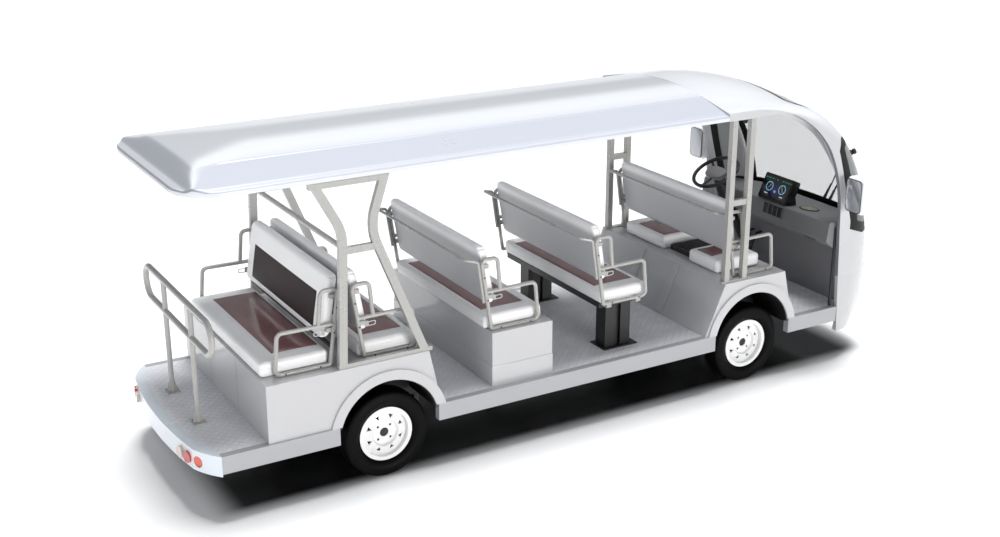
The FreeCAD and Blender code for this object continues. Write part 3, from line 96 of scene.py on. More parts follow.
class Finish:
    # a procedural material; constants go straight on the shader
    def __init__(self, name, **constants):
        self.material = bpy.data.materials.new(name)
        self.material.use_nodes = True
        self.tree = self.material.node_tree
        self.shader = self.tree.nodes["Principled BSDF"]
        for key, value in constants.items():
            self.give(key, value)

    def give(self, key, value):
        # baseColor -> "Base Color"
        spaced = "".join(" " + c if c.isupper() else c for c in key).title()
        spaced = spaced.replace("Specular", "Specular IOR Level")
        self.plug(self.shader.inputs[spaced], value)
        return self

    def plug(self, socket, value):
        if isinstance(value, Val):
            self.tree.links.new(value.socket, socket)
        else:
            socket.default_value = value

    def node(self, kind, settings=None, sockets=None, out=0):
        made = self.tree.nodes.new("ShaderNode" + kind)
        for key, value in (settings or {}).items():
            setattr(made, key, value)
        for key, value in (sockets or {}).items():
            self.plug(made.inputs[key], value)
        return Val(self, made.outputs[out])

    def calc(self, how, *values):
        return self.node("Math", {"operation": how}, dict(enumerate(values)))

    def mix(self, share, first, second):
        return self.node("Mix", {"data_type": "RGBA"}, {0: share, 6: first, 7: second}, 2)

    def place(self, scale=(1, 1, 1), turn=(0, 0, 0)):
        # object coordinates, turned and scaled
        spot = self.node("TexCoord", out=3)
        return self.node("Mapping", None, {"Vector": spot, "Rotation": turn, "Scale": scale})

    def axes(self, vector):
        split = self.node("SeparateXYZ", None, {0: vector})
        return [Val(self, split.socket.node.outputs[k]) for k in range(3)]

    def direction(self):
        # the parts of the surface's unit normal
        return self.axes(self.node("NewGeometry", out=1))

    def colour(self):
        # what feeds Base Color now
        return Val(self, self.shader.inputs["Base Color"].links[0].from_socket)

    def noise(self, scale, detail=3, vector=None):
        sockets = {"Vector": vector or self.place(), "Scale": scale, "Detail": detail}
        return self.node("TexNoise", None, sockets)

    def cells(self, scale):
        # distance to the edge of the nearest cell
        sockets = {"Vector": self.place(), "Scale": scale}
        return self.node("TexVoronoi", {"feature": "DISTANCE_TO_EDGE"}, sockets)

    def attribute(self, name):
        return self.node("Attribute", {"attribute_name": name}, None, 2)

    def bump(self, height, distance):
        return self.node("Bump", None, {"Height": height, "Distance": distance})


def shade(colour, share):
    # a linear colour made darker or lighter
    return [c * share for c in colour[:3]] + [1.0]


def painted(name, colour, rough, waves=0.00002, dust=0.04, coat=0.0, metal=0.0):
    # a sprayed or gel-coated surface: faint waves of that depth, faint dust and uneven gloss
    made = Finish(name, metallic=metal, coatWeight=coat, coatRoughness=0.05)
    cloud = made.noise(2.3, 4)
    fine = made.noise(60, 3)
    dusty = shade(colour, 1 - dust * 2.5)
    made.give("baseColor", made.mix(cloud.rise(0.35, 0.75, 0, dust * 2), colour, dusty))
    made.give("roughness", rough + (cloud - 0.5) * 0.10 + (fine - 0.5) * 0.04)
    made.give("normal", made.bump(made.noise(140, 2) + made.noise(5, 1) * 2.0, waves))
    return made


# ---- materials by slot: colour, roughness, depth of the waves in metres, dust, coat, metal
paints = {
    "body_white": (tone(189, 189, 191), 0.18, 0.000012, 0.015, 0.5),
    "rim_white": (tone(236, 236, 236), 0.28, 0.00003, 0.05, 0.3),
    "mirror_shell": (tone(235, 236, 240), 0.2, 0.00002, 0.02, 0.5),
    "tube_grey": (tone(168, 167, 164), 0.28, 0.00004, 0.05, 0.3),
    "sill_grey": (tone(166, 167, 170), 0.34, 0.00003, 0.05),
    "bumper_grey": (tone(222, 229, 236), 0.26, 0.00003, 0.04, 0.3),
    "frame_black": (tone(18, 18, 19), 0.42, 0.00005, 0.12),
    "trim_black": (tone(26, 26, 27), 0.42, 0.00008, 0.10),
    "liner_black": (tone(15, 15, 16), 0.6, 0.00015, 0.2),
    "screw_dark": (tone(34, 34, 36), 0.3, 0.00001, 0.05, 0.0, 0.7),
    "belt_grey": (tone(196, 197, 200), 0.3, 0.00002, 0.05, 0.2),
    "seam_grey": (tone(120, 122, 128), 0.5, 0.00001, 0.1),
    "mirror_glass": (tone(176, 179, 184), 0.10, 0.000001, 0.02, 0.0, 0.45),
    "screen_black": (tone(14, 14, 16), 0.22, 0.00002, 0.1),
}
finishes = {}
for slotName, values in paints.items():
    first, second = slotName.split("_")
    finishes[slotName] = painted(first + second.title(), *values)

# the front cap: places in metres, directions as parts of the surface's unit normal; top is painted light on
# faces that look up, shaded is painted shade
capLook = dict(white=tone(190, 191, 193), top=tone(213, 215, 219), shaded=tone(126, 127, 133), rough=0.26,
               coat=0.2, archX=1.296, archZ=1.2, inward=-0.2, innerX=1.36, innerSide=0.8, behindX=1.7,
               behindZ=1.85, foldX=2.089, foldZ=0.95, bend=0.28, curl=0.3, foldFrom=1.56, foldLow=0.33,
               foldEnd=(1.90, 1.74), foldSide=0.3)


def capFinish():
    # white, painted lighter on faces that look up, with a band of painted grey shade on the arch's rear
    # edge, by the surface's own direction and place
    s = capLook
    made = painted("capWhite", s["white"], s["rough"], 0.000010, 0.015, s["coat"])
    x, y, z = made.axes(made.place())
    a, b, c = made.direction()
    # painted light: faces that look up are mixed towards the lighter top tone
    white = made.mix(c.rise(0.25, 0.75), made.colour(), s["top"])
    turned = (x - s["archX"]) * a + (z - s["archZ"]) * c   # below 0 where it looks at the arch's middle
    inner = (turned < s["inward"]) * (x > s["innerX"]) * (abs(b) < s["innerSide"])
    behind = (a < s["inward"]) * (x > s["behindX"]) * (z < s["behindZ"])
    # the return of each pillar gets painted shade too: side skin behind the line x = foldX - bend t^2 - curl
    # t^6
    t = (z - s["foldZ"]).calc("MAXIMUM", 0.0)
    line = s["foldX"] - t * t * (s["bend"] + t * t * t * t * s["curl"])
    fold = ((x < line) * (x > s["foldFrom"]) * (z > s["foldLow"]) * z.rise(*s["foldEnd"])
            * (abs(b) > s["foldSide"]))
    # painted shade on the inner arch, on faces that look rearward and on the pillar returns
    made.give("baseColor", made.mix((inner + behind + fold).calc("MINIMUM", 1.0), white, s["shaded"]))
    return made


# crown, side and rear are painted shade and painted reflection for the plateau, the side slopes and the rear
# slope
roofLook = dict(white=tone(214, 216, 220), crown=tone(180, 182, 186), side=tone(184, 188, 198),
                rear=tone(122, 125, 133), rearShare=0.8, rough=0.30, coat=0.15)


def roofFinish():
    # the roof's white with painted shade and painted reflection: deeper in tone along the crown, on the
    # sides and on the slope at the rear
    s = roofLook
    made = painted("roofSkinWhite", s["white"], s["rough"], 0.000008, 0.012, s["coat"])
    a, b, c = made.direction()
    aside = abs(b)
    colour = made.mix(aside.rise(0.09, 0.02), made.colour(), s["crown"])
    colour = made.mix(aside.rise(0.12, 0.24) * (c > 0.2), colour, s["side"])
    # painted reflection of a dark surround on the slope at the rear
    rearward = (-a).rise(0.25, 0.65) * (c > 0.1)
    made.give("baseColor", made.mix(rearward * s["rearShare"], colour, s["rear"]))
    return made


# bar is a painted highlight on the raised bars
deckLook = dict(cell=0.042, bars=3, turn=45, raised=0.0014, above=0.40, low=tone(206, 208, 213),
                high=tone(220, 222, 227), bar=tone(250, 250, 252))


def deckFinish():
    # tread plate: squares of three raised bars, turned a quarter from one square to the next, the bars near
    # white as a painted highlight
    s = deckLook
    made = Finish("deckPlate", specular=0.6)
    x, y, z = made.axes(made.place(turn=(0, 0, math.radians(s["turn"]))))
    x, y = x / s["cell"], y / s["cell"]
    odd = (x.calc("FLOOR") + y.calc("FLOOR")).calc("PINGPONG", 1.0).rise(0.45, 0.55)
    u, v = x.calc("FRACT") - 0.5, y.calc("FRACT") - 0.5
    across = u + (v - u) * odd
    along = v + (u - v) * odd
    # each bar is a rounded lozenge: bar = (1 - (2.9 lane)^2 - (2.35 along)^4)^0.5
    lane = ((across + 0.5) * s["bars"]).calc("FRACT") - 0.5
    height = 1.0 - (lane * 2.9) ** 2.0 - (along * 2.35) ** 4.0
    bar = height.calc("MAXIMUM", 0.0) ** 0.5
    shown = bar * (z > s["above"])
    worn = made.noise(9, 4)
    # painted highlight: the raised bars take the near-white bar tone
    made.give("baseColor", made.mix(shown, made.mix(worn, s["low"], s["high"]), s["bar"]))
    made.give("roughness", 0.36 - bar * 0.10 + (worn - 0.5) * 0.15)
    made.give("normal", made.bump(shown, s["raised"]))
    return made


def moulded(name, colour, grain=0.00012, rough=0.5):
    # moulded plastic with a fine leathery grain
    made = Finish(name)
    cells = made.cells(420)
    cloud = made.noise(3, 3)
    made.give("baseColor", made.mix(cloud, shade(colour, 0.88), shade(colour, 1.08)))
    made.give("roughness", rough + (cloud - 0.5) * 0.12)
    made.give("normal", made.bump(cells.rise(0.0, 0.25), grain))
    return made


# back is painted shade on the backs' rear faces; seatInset is the maroon inset lightened as a painted
# reflection on the seats
vinylLook = dict(white=tone(250, 250, 250), inset=tone(30, 4, 6), seatInset=tone(150, 108, 108),
                 back=tone(176, 177, 180), seam=tone(70, 62, 60))


def vinylFinish():
    # stretched vinyl: panel is the distance to the inset's edge, rear the share of the backs' rear faces,
    # which get painted shade in the grey back tone
    s = vinylLook
    made = Finish("vinylSeat", coatRoughness=0.12, specular=0.35)
    edge = made.attribute("panel")
    creases = made.noise(7, 5, made.place((1, 0.6, 1)))
    cells = made.cells(520)
    inside = edge.rise(0.0004, -0.0004)
    seam = abs(edge).rise(0.0022, 0.0006)
    level = made.direction()[2].rise(0.6, 0.95)   # 1 on the seats, 0 on the backs
    colour = made.mix(creases.rise(0.3, 0.8), s["white"], shade(s["white"], 0.965))
    # painted shade: the backs' rear faces take the grey back tone
    colour = made.mix(made.attribute("rear"), colour, s["back"])
    # painted reflection: on the up-facing seats the inset goes lighter, more where the creases rise
    panel = made.mix(level * (0.55 + creases * 0.45), s["inset"], s["seatInset"])
    colour = made.mix(inside, colour, panel)
    made.give("baseColor", made.mix(seam * 0.55, colour, s["seam"]))
    made.give("coatWeight", 0.12 + inside * (level * 0.7 - 0.12))
    made.give("roughness", 0.36 + (creases - 0.5) * 0.08 + inside * (0.2 - level * 0.4))
    grain = cells.rise(0.0, 0.3) * (1 - inside * 0.85) * 0.5
    made.give("normal", made.bump(grain + creases * 6.0, 0.00012))
    return made


def rubberFinish():
    made = Finish("tyreRubber", specular=0.08)
    cloud = made.noise(6, 4)
    made.give("baseColor", made.mix(cloud, tone(4, 4, 5), tone(10, 10, 10)))
    made.give("roughness", 0.52 + (cloud - 0.5) * 0.15)
    made.give("normal", made.bump(made.noise(260, 2), 0.00012))
    return made


# shine is a painted glint on the prisms of the tail lamps
lensLook = dict(prisms=1400, clear=tone(214, 218, 222), inner=tone(198, 186, 180), middle=tone(168, 22, 18),
                outer=tone(206, 58, 22), shine=tone(255, 170, 140), glow=0.12, innerY=0.4725, outerY=0.5575)


def lampLens(name, colour):
    # a moulded lens: a lattice of small prisms under a smooth cover, the prisms painted lighter as painted
    # glints
    made = Finish(name, coatWeight=0.9, coatRoughness=0.03)
    x, y, z = made.axes(made.place())
    lattice = (y * lensLook["prisms"]).calc("SINE") * (z * lensLook["prisms"]).calc("SINE")
    prismGlint = [min(1, c * 1.5 + 0.02) for c in colour[:3]] + [1.0]
    made.give("baseColor", made.mix(lattice.rise(-1, 1), colour, prismGlint))
    made.give("roughness", 0.14 + (made.noise(30) - 0.5) * 0.08)
    made.give("normal", made.bump(lattice, 0.0003))
    return made, abs(y), lattice.rise(-1, 1)


def tailLens():
    # outer lens amber red, middle one red, inner one pale, by the distance from the middle plane
    s = lensLook
    made, out, lattice = lampLens("lampRed", s["middle"])
    colour = made.mix(out < s["innerY"], s["middle"], s["inner"])
    colour = made.mix(out > s["outerY"], colour, s["outer"])
    # painted glints of a pale orange on the prisms
    made.give("baseColor", made.mix(lattice * 0.12, colour, s["shine"]))
    made.give("emissionColor", colour).give("emissionStrength", s["glow"])
    return made


glassLook = dict(tint=tone(120, 122, 124), ink=tone(10, 10, 11), clear=0.30, smoke=0.45, inked=0.70,
                 border=0.045, footZ=1.032, bandY=0.605, bandHalf=0.018, bandTop=1.63)


def glassFinish():
    # tinted glass with a black printed border that fades out in dots
    s = glassLook
    made = Finish("windscreenGlass", specular=0.25)
    x, y, z = made.axes(made.place())
    out = abs(y)
    dots = ((y * 900).calc("SINE") * (z * 900).calc("SINE")).rise(-1, 1) * 0.006
    reach = made.attribute("edge") + dots - out.rise(0.60, 0.68) * 0.032
    border = reach.rise(s["border"] + 0.0005, s["border"] - 0.0005)
    foot = (z + dots).rise(s["footZ"] + 0.001, s["footZ"] - 0.001) * (out < 0.66)
    band = abs(out - s["bandY"]).rise(s["bandHalf"] + 0.001, s["bandHalf"] - 0.001)
    border = border.calc("MAXIMUM", foot).calc("MAXIMUM", band * (z < s["bandTop"]) * (x > 2.1))
    cover = s["clear"] + out.rise(0.60, 0.66) * s["smoke"] + border * s["inked"]
    cover = cover + (made.noise(3) - 0.5) * 0.02
    made.give("baseColor", made.mix(border, s["tint"], s["ink"]))
    made.give("alpha", cover.calc("MINIMUM", 1.0))
    made.give("roughness", 0.03 + border * 0.45)
    return made


finishes.update(cap_white=capFinish(), roof_white=roofFinish(), deck_plate=deckFinish(),
                dash_grey=moulded("dashGrey", tone(116, 117, 119)),
                grille_grey=moulded("grilleGrey", tone(134, 131, 120), 0.00012, 0.6),
                panel_dark=moulded("panelDark", tone(120, 120, 123), 0.00015, 0.6),
                vinyl=vinylFinish(), tyre_black=rubberFinish(), lamp_red=tailLens(),
                lamp_clear=lampLens("lampClear", lensLook["clear"])[0], glass_clear=glassFinish())
slotFinish = {"battery_case": "frame_black", "seat_back": "trim_black", "seat_white": "rim_white"}
nodeFinish = {"firewall_panel": "panel_dark", "front_cap": "cap_white", "rear_bumper": "bumper_grey"}
slotOf = {p["node"]: p["material_slot"] for p in frame["record"]["subparts"]}
for nodeName, cadNode in frame["nodes"].items():
    slotName = slotOf.get(nodeName, "trim_black")
    finish = finishes[nodeFinish.get(nodeName, slotFinish.get(slotName, slotName))]
    cadNode.data.materials.clear()
    cadNode.data.materials.append(finish.material)
print("materials made", len(bpy.data.materials))


# ---- mesh helpers: a form is (points, faces), and a piece is forms with the keys of their finishes
def linked(name, data):
    # a new object in the scene
    made = bpy.data.objects.new(name, data)
    scene.collection.objects.link(made)
    return made


def addPiece(name, forms, body="root", smooth=40, attributes=None):
    points, faces, kinds, mats, start = [], [], [], [], 0
    for (formPoints, formFaces), finish in forms:
        mat = finishes[finish].material
        if mat not in mats:
            mats.append(mat)
        points.append(formPoints)
        faces += [[int(i) + start for i in face] for face in formFaces]
        kinds += [mats.index(mat)] * len(formFaces)
        start += len(formPoints)
    # points at one place become one, and faces that close up go
    points = np.concatenate(points)
    _, first, index = np.unique(np.round(points, 6), axis=0, return_index=True, return_inverse=True)
    index = index.reshape(-1)
    rings = [[v for k, v in enumerate(ring) if v != ring[k - 1]] for ring in
             ([int(index[i]) for i in face] for face in faces)]
    kinds = [kind for kind, ring in zip(kinds, rings) if len(ring) > 2]
    faces = [ring for ring in rings if len(ring) > 2]
    mesh = bpy.data.meshes.new(name)
    mesh.from_pydata(points[first].tolist(), [], faces)
    for mat in mats:
        mesh.materials.append(mat)
    mesh.polygons.foreach_set("material_index", kinds)
    mesh.polygons.foreach_set("use_smooth", [True] * len(faces))
    for key, values in (attributes or {}).items():
        layer = mesh.attributes.new(key, "FLOAT", "POINT")
        layer.data.foreach_set("value", np.asarray(values, np.float32)[first])
    mesh.validate()
    mesh.set_sharp_from_angle(angle=math.radians(smooth))
    made = linked(name, mesh)
    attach(made, body)
    return made


def gridForm(points, wrapU=False, wrapV=False):
    # quads over an n by m array of points
    n, m = points.shape[:2]
    i = np.arange(n if wrapU else n - 1)[:, None]
    j = np.arange(m if wrapV else m - 1)[None, :]
    nextI, nextJ = (i + 1) % n, (j + 1) % m
    quads = np.stack([i * m + j, nextI * m + j, nextI * m + nextJ, i * m + nextJ], -1)
    return points.reshape(-1, 3), quads.reshape(-1, 4)


def flipped(form):
    points, faces = form
    return points, [list(face)[::-1] for face in faces]


def basis(direction):
    # two unit vectors square to a direction, so that side x up = direction
    d = np.asarray(direction, float)
    d = d / norm(d)
    helper = np.array([0, 0, 1.0]) if abs(d[2]) < 0.9 else np.array([1.0, 0, 0])
    side = np.cross(helper, d)
    side /= norm(side)
    return side, np.cross(d, side), d


def latheForm(profile, centre, direction, count=48):
    # profile is (along, radius) pairs turned about direction; ends close where the radius is 0
    side, up, d = basis(direction)
    turn = fullTurn(count)
    ring = np.cos(turn)[:, None] * side + np.sin(turn)[:, None] * up
    profile = np.asarray(profile, float)
    points = (np.asarray(centre, float) + profile[None, :, 0, None] * d
              + profile[None, :, 1, None] * ring[:, None, :])
    points, faces = gridForm(points, True)
    return points, faces[:, ::-1]


def placed(form, origin, first, second):
    # a form moved from its own axes to an origin and two directions, the third square to both
    a, b = (np.asarray(v, float) / norm(v) for v in (first, second))
    turn = np.stack([a, b, np.cross(a, b)])
    return np.asarray(form[0]) @ turn + np.asarray(origin, float), form[1]


def plateForm(width, height, corner, thick, bevel=0.0008):
    # a flat plate with rounded corners and a chamfer, its back on its own xy plane
    turn = np.linspace(0, math.pi / 2, 7)
    arc = np.stack([np.cos(turn), np.sin(turn)], 1)
    loop = []
    for k, (sx, sy) in enumerate(((1, 1), (-1, 1), (-1, -1), (1, -1))):
        spin = arc @ np.array([[math.cos(k * math.pi / 2), math.sin(k * math.pi / 2)],
                               [-math.sin(k * math.pi / 2), math.cos(k * math.pi / 2)]])
        loop.append(spin * corner + np.array([sx * (width / 2 - corner), sy * (height / 2 - corner)]))
    loop = np.concatenate(loop)
    inner = loop * (1 - 2 * bevel / np.array([width, height]))
    levels = [(loop, 0), (loop, thick - bevel), (inner, thick)]
    rings = np.array([np.column_stack([xy, np.full(len(xy), z)]) for xy, z in levels])
    points, faces = gridForm(rings, False, True)
    n = len(loop)
    faces = [list(f)[::-1] for f in faces] + [list(range(n))[::-1], [2 * n + k for k in range(n)]]
    return points, faces


def boxForm(low, high, bevel=0.0):
    # a box with rounded edges
    low, high = np.asarray(low, float), np.asarray(high, float)
    points, faces = boxGrid(*(gridLines(a, b, 0.5, bevel) for a, b in zip(low, high)))
    return roundOff(points, low, high, bevel), faces


def gridLines(low, high, step, edge, marks=(), fine=0.002):
    # positions from low to high about a step apart, closer in the edge bands and round each mark
    spots = list(np.linspace(low, high, max(2, int(round((high - low) / step)) + 1)))
    if edge > 0:
        for share in (0.12, 0.3, 0.55, 1.0):
            spots += [low + edge * share, high - edge * share]
    close = [m + k * fine for m in marks for k in (-3, -1.5, -0.5, 0.5, 1.5, 3)]
    spots = [s for s in spots if all(abs(s - c) > fine * 1.2 for c in close)] + close + [low, high]
    return np.unique(np.round([s for s in spots if low - 1e-9 <= s <= high + 1e-9], 6))


def boxGrid(xs, ys, zs):
    # the six sides of a box as one closed grid
    axes, points, faces, start = (xs, ys, zs), [], [], 0
    for a in range(3):
        b, c = (a + 1) % 3, (a + 2) % 3
        for end in (0, -1):
            first, second = np.meshgrid(axes[b], axes[c], indexing="ij")
            side = np.empty(first.shape + (3,))
            side[..., a], side[..., b], side[..., c] = axes[a][end], first, second
            sidePoints, quads = gridForm(side)
            faces.append((quads if end else quads[:, ::-1]) + start)
            points.append(sidePoints)
            start += len(sidePoints)
    merged, index = np.unique(np.round(np.concatenate(points), 6), axis=0, return_inverse=True)
    return merged, index.reshape(-1)[np.concatenate(faces)]


def roundOff(points, low, high, radius):
    # pulls the points outside the inner box onto spheres: core + offset / |offset| * radius
    if radius <= 0:
        return points
    core = np.clip(points, low + radius, high - radius)
    offset = points - core
    size = norm(offset, axis=1, keepdims=True)
    return core + offset / np.maximum(size, 1e-9) * np.minimum(size, radius)


def fullTurn(count):
    # angles once round
    return np.linspace(0, 2 * math.pi, count, endpoint=False)


def unitRows(rows):
    # each row brought to length 1
    return rows / norm(rows, axis=1, keepdims=True)


def tubeForm(path, radius, sides=12, closed=False):
    # a round bar along a path, its ends closed
    path = np.asarray(path, float)
    ahead = np.roll(path, -1, 0) - path
    behind = path - np.roll(path, 1, 0)
    if not closed:
        ahead[-1], behind[0] = behind[-1], ahead[0]
    tangent = unitRows(unitRows(ahead) + unitRows(behind))
    side = basis(tangent[0])[0]
    rings, turn = [], fullTurn(sides)[:, None]
    for point, t in zip(path, tangent):
        side = side - t * (side @ t)
        side /= norm(side)
        rings.append(point + radius * (np.cos(turn) * side + np.sin(turn) * np.cross(t, side)))
    points, faces = gridForm(np.array(rings), closed, True)
    faces = [list(f) for f in faces]
    if not closed:
        faces += [list(range(sides))[::-1], [len(points) - sides + k for k in range(sides)]]
    return points, faces


def rounded(path, radius, steps=6, closed=False):
    # the corners of a path turned into arcs (quadratic curves between the tangent points)
    path = [np.asarray(p, float) for p in path]
    made, count = [], len(path)
    for k, p in enumerate(path):
        if not closed and k in (0, count - 1):
            made.append(p)
            continue
        before, after = path[k - 1] - p, path[(k + 1) % count] - p
        reach = min(radius, norm(before) * 0.49, norm(after) * 0.49)
        start = p + before / norm(before) * reach
        end = p + after / norm(after) * reach
        for t in np.linspace(0, 1, steps + 1):
            made.append((1 - t) ** 2 * start + 2 * t * (1 - t) * p + t * t * end)
    return np.array(made)


def smoothStep(t):
    t = np.clip(t, 0, 1)
    return t * t * (3 - 2 * t)


def rectDistance(a, b, box, radius=0.006):
    # signed distance from (a, b) to a rounded rectangle, below 0 inside
    (a0, a1), (b0, b1) = box
    da = np.abs(a - (a0 + a1) / 2) - (a1 - a0) / 2 + radius
    db = np.abs(b - (b0 + b1) / 2) - (b1 - b0) / 2 + radius
    outside = np.hypot(np.maximum(da, 0), np.maximum(db, 0))
    return outside + np.minimum(np.maximum(da, db), 0) - radius


# ---- seats
seatSizes = dict(edge=0.024, crown=0.007, bulge=0.004, groove=0.0022, grooveWide=0.003, lift=0.0015,
                 step=0.02, sideStep=0.015, seam=0.036, seamDeep=0.0018, seamWide=0.002)
cushionPanels = {   # the let-in panel of each cushion: x from and to, y from and to
    "row2": ((0.162, 0.466), (-0.51, 0.51)),
    "row3": ((-0.694, -0.389), (-0.51, 0.51)),
    "row4": ((-1.534, -1.254), (-0.51, 0.51)),
    "row5": ((-2.089, -1.801), (-0.51, 0.51)),
    "driver": ((1.205, 1.470), (0.118, 0.437)),
    "front_passenger": ((1.205, 1.470), (-0.437, -0.268)),
}


def addPad(name, form, panel, rear):
    made = addPiece(name + "Pad", [(form, "vinyl")], attributes={"panel": panel, "rear": rear})
    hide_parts(name)


def addCushion(name, panel):
    # a padded block: rounded edges, crown on top, bulging sides and a let-in panel
    s = seatSizes
    low, high = (np.array(v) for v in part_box(name))
    xs = gridLines(low[0], high[0], s["step"], s["edge"], panel[0])
    ys = gridLines(low[1], high[1], s["step"], s["edge"], panel[1])
    seamZ = high[2] - s["seam"]
    zs = gridLines(low[2], high[2], s["sideStep"], s["edge"], (seamZ,), 0.0016)
    points, faces = boxGrid(xs, ys, zs)
    points = roundOff(points, low, high, s["edge"])
    unit = (points - (low + high) / 2) / ((high - low) / 2)
    top = smoothStep((unit[:, 2] - 0.2) / 0.8)
    distance = rectDistance(points[:, 0], points[:, 1], panel)
    # z += crown (1 - x^4)(1 - y^6) - groove at the panel's edge + lift within it
    crown = s["crown"] * (1 - unit[:, 0] ** 4) * (1 - unit[:, 1] ** 6)
    groove = s["groove"] * np.exp(-(distance / s["grooveWide"]) ** 2)
    points[:, 2] += top * (crown - groove + s["lift"] * smoothStep(-distance / 0.01))
    # sides += bulge (1 - z^2)(1 - the other way's share ^4)
    side = 1 - np.clip(unit[:, 2], -1, 1) ** 2
    for a in (0, 1):
        outward = np.sign(unit[:, a]) * (np.abs(unit[:, a]) > 0.9)
        points[:, a] += s["bulge"] * outward * side * (1 - unit[:, 1 - a] ** 4)
    # a sewn seam runs round the sides below the top edge
    seam = np.exp(-((points[:, 2] - seamZ) / s["seamWide"]) ** 2) * (np.abs(unit[:, 2]) < 0.9)
    points[:, :2] -= s["seamDeep"] * np.sign(unit[:, :2]) * (np.abs(unit[:, :2]) > 0.93) * seam[:, None]
    addPad(name, (points, faces), np.where(top > 0.5, distance, 0.1), np.zeros(len(points)))


for rowName, panel in cushionPanels.items():
    addCushion("seat_cushion_" + rowName, panel)
backSizes = dict(lean=0.066, thick=0.062, bottom=0.950, top=1.332, half=0.618, corner=0.042, edge=0.022,
                 crown=0.008, board=0.028, panel=((-0.50, 0.50), (0.993, 1.206)))


def addBack(name, facing):
    # a leaning padded slab: rounded outline, crown and panel on the sitter's side, painted shade on the rear
    # face
    s, b = seatSizes, backSizes
    lowest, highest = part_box(name)
    # x of the rear face at the bottom
    foot = highest[0] - b["thick"] if facing > 0 else lowest[0] + b["thick"]
    xs = gridLines(0, b["thick"], s["step"], b["edge"])
    ys = gridLines(-b["half"], b["half"], s["step"], b["edge"], b["panel"][0])
    zs = gridLines(b["bottom"], b["top"], s["step"], b["edge"], b["panel"][1])
    points, faces = boxGrid(xs, ys, zs)
    low = np.array([0, -b["half"], b["bottom"]])
    high = np.array([b["thick"], b["half"], b["top"]])
    points = roundOff(points, low, high, b["edge"])
    # outline corners: offset scaled by its larger part over its length
    middle = (low + high) / 2
    inner = (high - low) / 2 - b["corner"]
    flat = points[:, 1:] - middle[1:]
    reach = np.clip(flat, -inner[1:], inner[1:])
    offset = flat - reach
    size = norm(offset, axis=1)
    scale = np.where(size > 1e-9, np.abs(offset).max(1) / np.maximum(size, 1e-9), 1)
    points[:, 1:] = middle[1:] + reach + offset * scale[:, None]
    unit = (points - middle) / ((high - low) / 2)
    front = smoothStep((unit[:, 0] - 0.2) / 0.8)
    distance = rectDistance(points[:, 1], points[:, 2], b["panel"])
    crown = b["crown"] * (1 - unit[:, 1] ** 6) * (1 - unit[:, 2] ** 4)
    points[:, 0] += front * (crown - s["groove"] * np.exp(-(distance / s["grooveWide"]) ** 2))
    # painted shade: rear marks the rear face from board below the top downwards, and the vinyl paints it
    # grey
    rear = smoothStep((-unit[:, 0] - 0.55) / 0.3) * smoothStep((b["top"] - b["board"] - points[:, 2]) / 0.05)
    points[:, 0] -= b["lean"] * (points[:, 2] - b["bottom"]) / (b["top"] - b["bottom"])
    points[:, 0] = foot + facing * points[:, 0]
    form = points, faces if facing > 0 else faces[:, ::-1]
    addPad(name, form, np.where(front > 0.5, distance, 0.1), rear)


for rowName in ("row1", "row2", "row3", "row4"):
    addBack("backrest_" + rowName, 1)
addBack("backrest_row5", -1)
print("seats made")


# ---- tyres: knots are (across, radius), and sidewall rings are (radius, width, height)
tyreSizes = dict(around=288, along=84, outerY=0.700, halfWide=0.0775, grooves=(-0.034, 0.0, 0.034),
                 grooveWide=0.0032, deep=0.005, treadHalf=0.056, blocks=72, sipeDeep=0.0035, midSipe=0.0022,
                 slant=14)
tyreKnots = [(-0.051, 0.157), (-0.052, 0.178), (-0.068, 0.194), (-0.0775, 0.216), (-0.077, 0.240),
             (-0.071, 0.262), (-0.060, 0.2745), (-0.030, 0.2778), (0.0, 0.278)]
sidewallRings = ((0.188, 0.0016, 0.0018), (0.252, 0.0018, 0.0016), (0.245, 0.0015, -0.0012),
                 (0.198, 0.0015, -0.001))


def smoothProfile(knots, count):
    # Catmull-Rom curve through the knots, then even spacing along its length
    knots = np.asarray(knots, float)
    padded = np.vstack([2 * knots[0] - knots[1], knots, 2 * knots[-1] - knots[-2]])
    t = np.linspace(0, 1, 24, endpoint=False)[:, None]
    parts = []
    for p0, p1, p2, p3 in zip(padded, padded[1:], padded[2:], padded[3:]):
        parts.append(0.5 * (2 * p1 + (p2 - p0) * t + (2 * p0 - 5 * p1 + 4 * p2 - p3) * t ** 2
                            + (3 * p1 - p0 - 3 * p2 + p3) * t ** 3))
    line = np.vstack(parts + [knots[-1:]])
    length = np.concatenate([[0], np.cumsum(norm(np.diff(line, axis=0), axis=1))])
    even = np.linspace(0, length[-1], count)
    return np.stack([np.interp(even, length, line[:, k]) for k in range(2)], 1)


